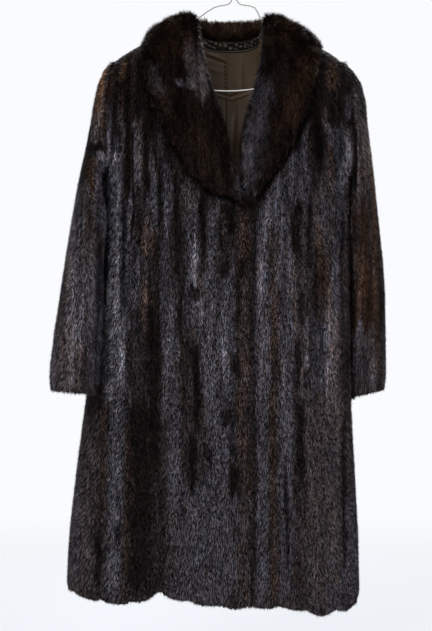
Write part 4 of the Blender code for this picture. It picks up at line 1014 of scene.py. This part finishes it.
liningFolds = [  # start and end in X and Z, half width, depth: under the band, and along the hanger's bar
    ((-0.048, -0.176), (-0.012, -0.188), 0.0028, 1.0),
    ((-0.05, -0.182), (-0.014, -0.194), 0.0024, -1.2),
    ((-0.046, -0.204), (-0.018, -0.212), 0.005, 0.5),
    ((0.018, -0.18), (0.02, -0.25), 0.005, 0.5),
    ((-0.037, -0.2485), (-0.003, -0.2595), 0.0017, -2.0),
    ((-0.003, -0.2595), (0.033, -0.2485), 0.0017, -2.0),
    ((-0.037, -0.2535), (-0.003, -0.2655), 0.0024, 0.8),
    ((-0.003, -0.2655), (0.033, -0.2535), 0.0024, 0.8),
    ((0.006, -0.3), (-0.004, -0.44), 0.004, 0.7),
    ((-0.026, -0.3), (-0.006, -0.42), 0.0035, -0.6),
]

band = {"gather": 0.0032, "slant": 0.35, "ends": 0.003}


def ridge(across, place, half, rise):
    return rise * np.exp(-((across - place) / half) ** 2)


def liningRise(places):
    # how far the satin stands forward: waves, a pricked pleat, folds
    z = places[:, 2]
    beside = places[:, 0] - lining["pleatX"]
    rise = (cloud("satinWaves", places) - 0.5) * 2 * lining["wave"]
    inPleat = softStep((lining["pleatTop"] + 0.01 - z) / 0.01) * softStep((z - lining["pleatFoot"]) / 0.02)
    rise += ridge(beside, *lining["crease"]) * inPleat
    rise += ridge(beside, *lining["lip"]) * inPleat
    stitches = np.abs((z / lining["stitch"]) % 1 - 0.5) * 2
    rise += ridge(beside, *lining["prick"]) * softStep(stitches * 2.4 - 1.4) * inPleat
    for start, end, width, depth in liningFolds:
        away, along = nearLine(places, start, end)
        rise += lining["foldDepth"] * depth * np.exp(-(away / width) ** 2) * np.sin(np.pi * (0.15 + 0.7 * along))
    return rise


def bandRise(places):
    # slanting gathers, which end at the band's seams
    z = places[:, 2]
    slant = places + np.array([0.0, 0.0, band["slant"]]) * places[:, [0]]
    ruche = softStep(cloud("ruche", slant) * 1.8 - 0.4) - 0.5
    return ruche * band["gather"] * (softStep((z - z.min()) / band["ends"]) * softStep((z.max() - z) / band["ends"]))


def makeSatin(node, name, plan):
    # the node's form, with its folds
    piece = copyNode(node, name)
    for low, high, half, cuts in plan["finer"]:
        cutFiner(piece, cuts, lambda spot: low < spot.z < high and abs(spot.x) < half)
    places = placesOf(piece.data)
    if node == "lining_back":
        places[:, 1] -= liningRise(places)
    if node == "neck_band":
        places[:, 1] -= bandRise(places)
    setPlaces(piece.data, places)
    choose(piece)
    bpy.ops.object.shade_smooth_by_angle(angle=math.radians(lining["smooth"]))
    return piece


print("frame loaded:", len(nodes), "nodes")

makeCamera()
makeLamps()
world = bpy.data.worlds.new("studio")
scene.world = world
world.use_nodes = True
background = world.node_tree.nodes["Background"].inputs
background["Color"].default_value = (*studio["world"], 1)
background["Strength"].default_value = studio["worldStrength"]
scene.view_settings.view_transform = "Standard"
scene.view_settings.exposure = studio["exposure"]
bpy.ops.object.select_all(action="DESELECT")
bpy.ops.mesh.primitive_plane_add(size=studio["floorSize"], location=(0, 0, studio["floorZ"]))
floor = bpy.context.object
floor.name = "studioFloor"
floor.data.materials.append(paintFloor())
print("studio set")

furMaterial = paintFur()
skinMaterial = paintSkin()
satinMaterial = paintSatin("oliveSatin", satinColours, satinFinish)
liningMaterial = paintSatin("prickedSatin", satinColours, satinFinish, lining)
bandMaterial = paintSatin("bandSatin", bandColours, bandFinish)

for node, plan in furs.items():
    skin = thinSkin(node, node + "Skin")
    for material in (skinMaterial, satinMaterial, skinMaterial):  # outside, inside, edges
        skin.data.materials.append(material)
    hair = growFur(node, skin, plan)
    hair.data.materials.append(furMaterial)
    for piece in (skin, hair):
        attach(piece, "root")
    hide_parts(node)
    print("fur:", node, len(skin.data.polygons), "skin faces,", plan["hairs"], "hairs")

for node, plan in satin.items():
    piece = makeSatin(node, node + "Satin", plan)
    piece.data.materials.append(liningMaterial if node == "lining_back" else bandMaterial)
    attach(piece, "root")
    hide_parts(node)
    print("satin:", node, len(piece.data.polygons), "faces")

wire = nodes["hanger"]
wire.data.materials.clear()
wire.data.materials.append(paintWire())
wire.data.shade_smooth()
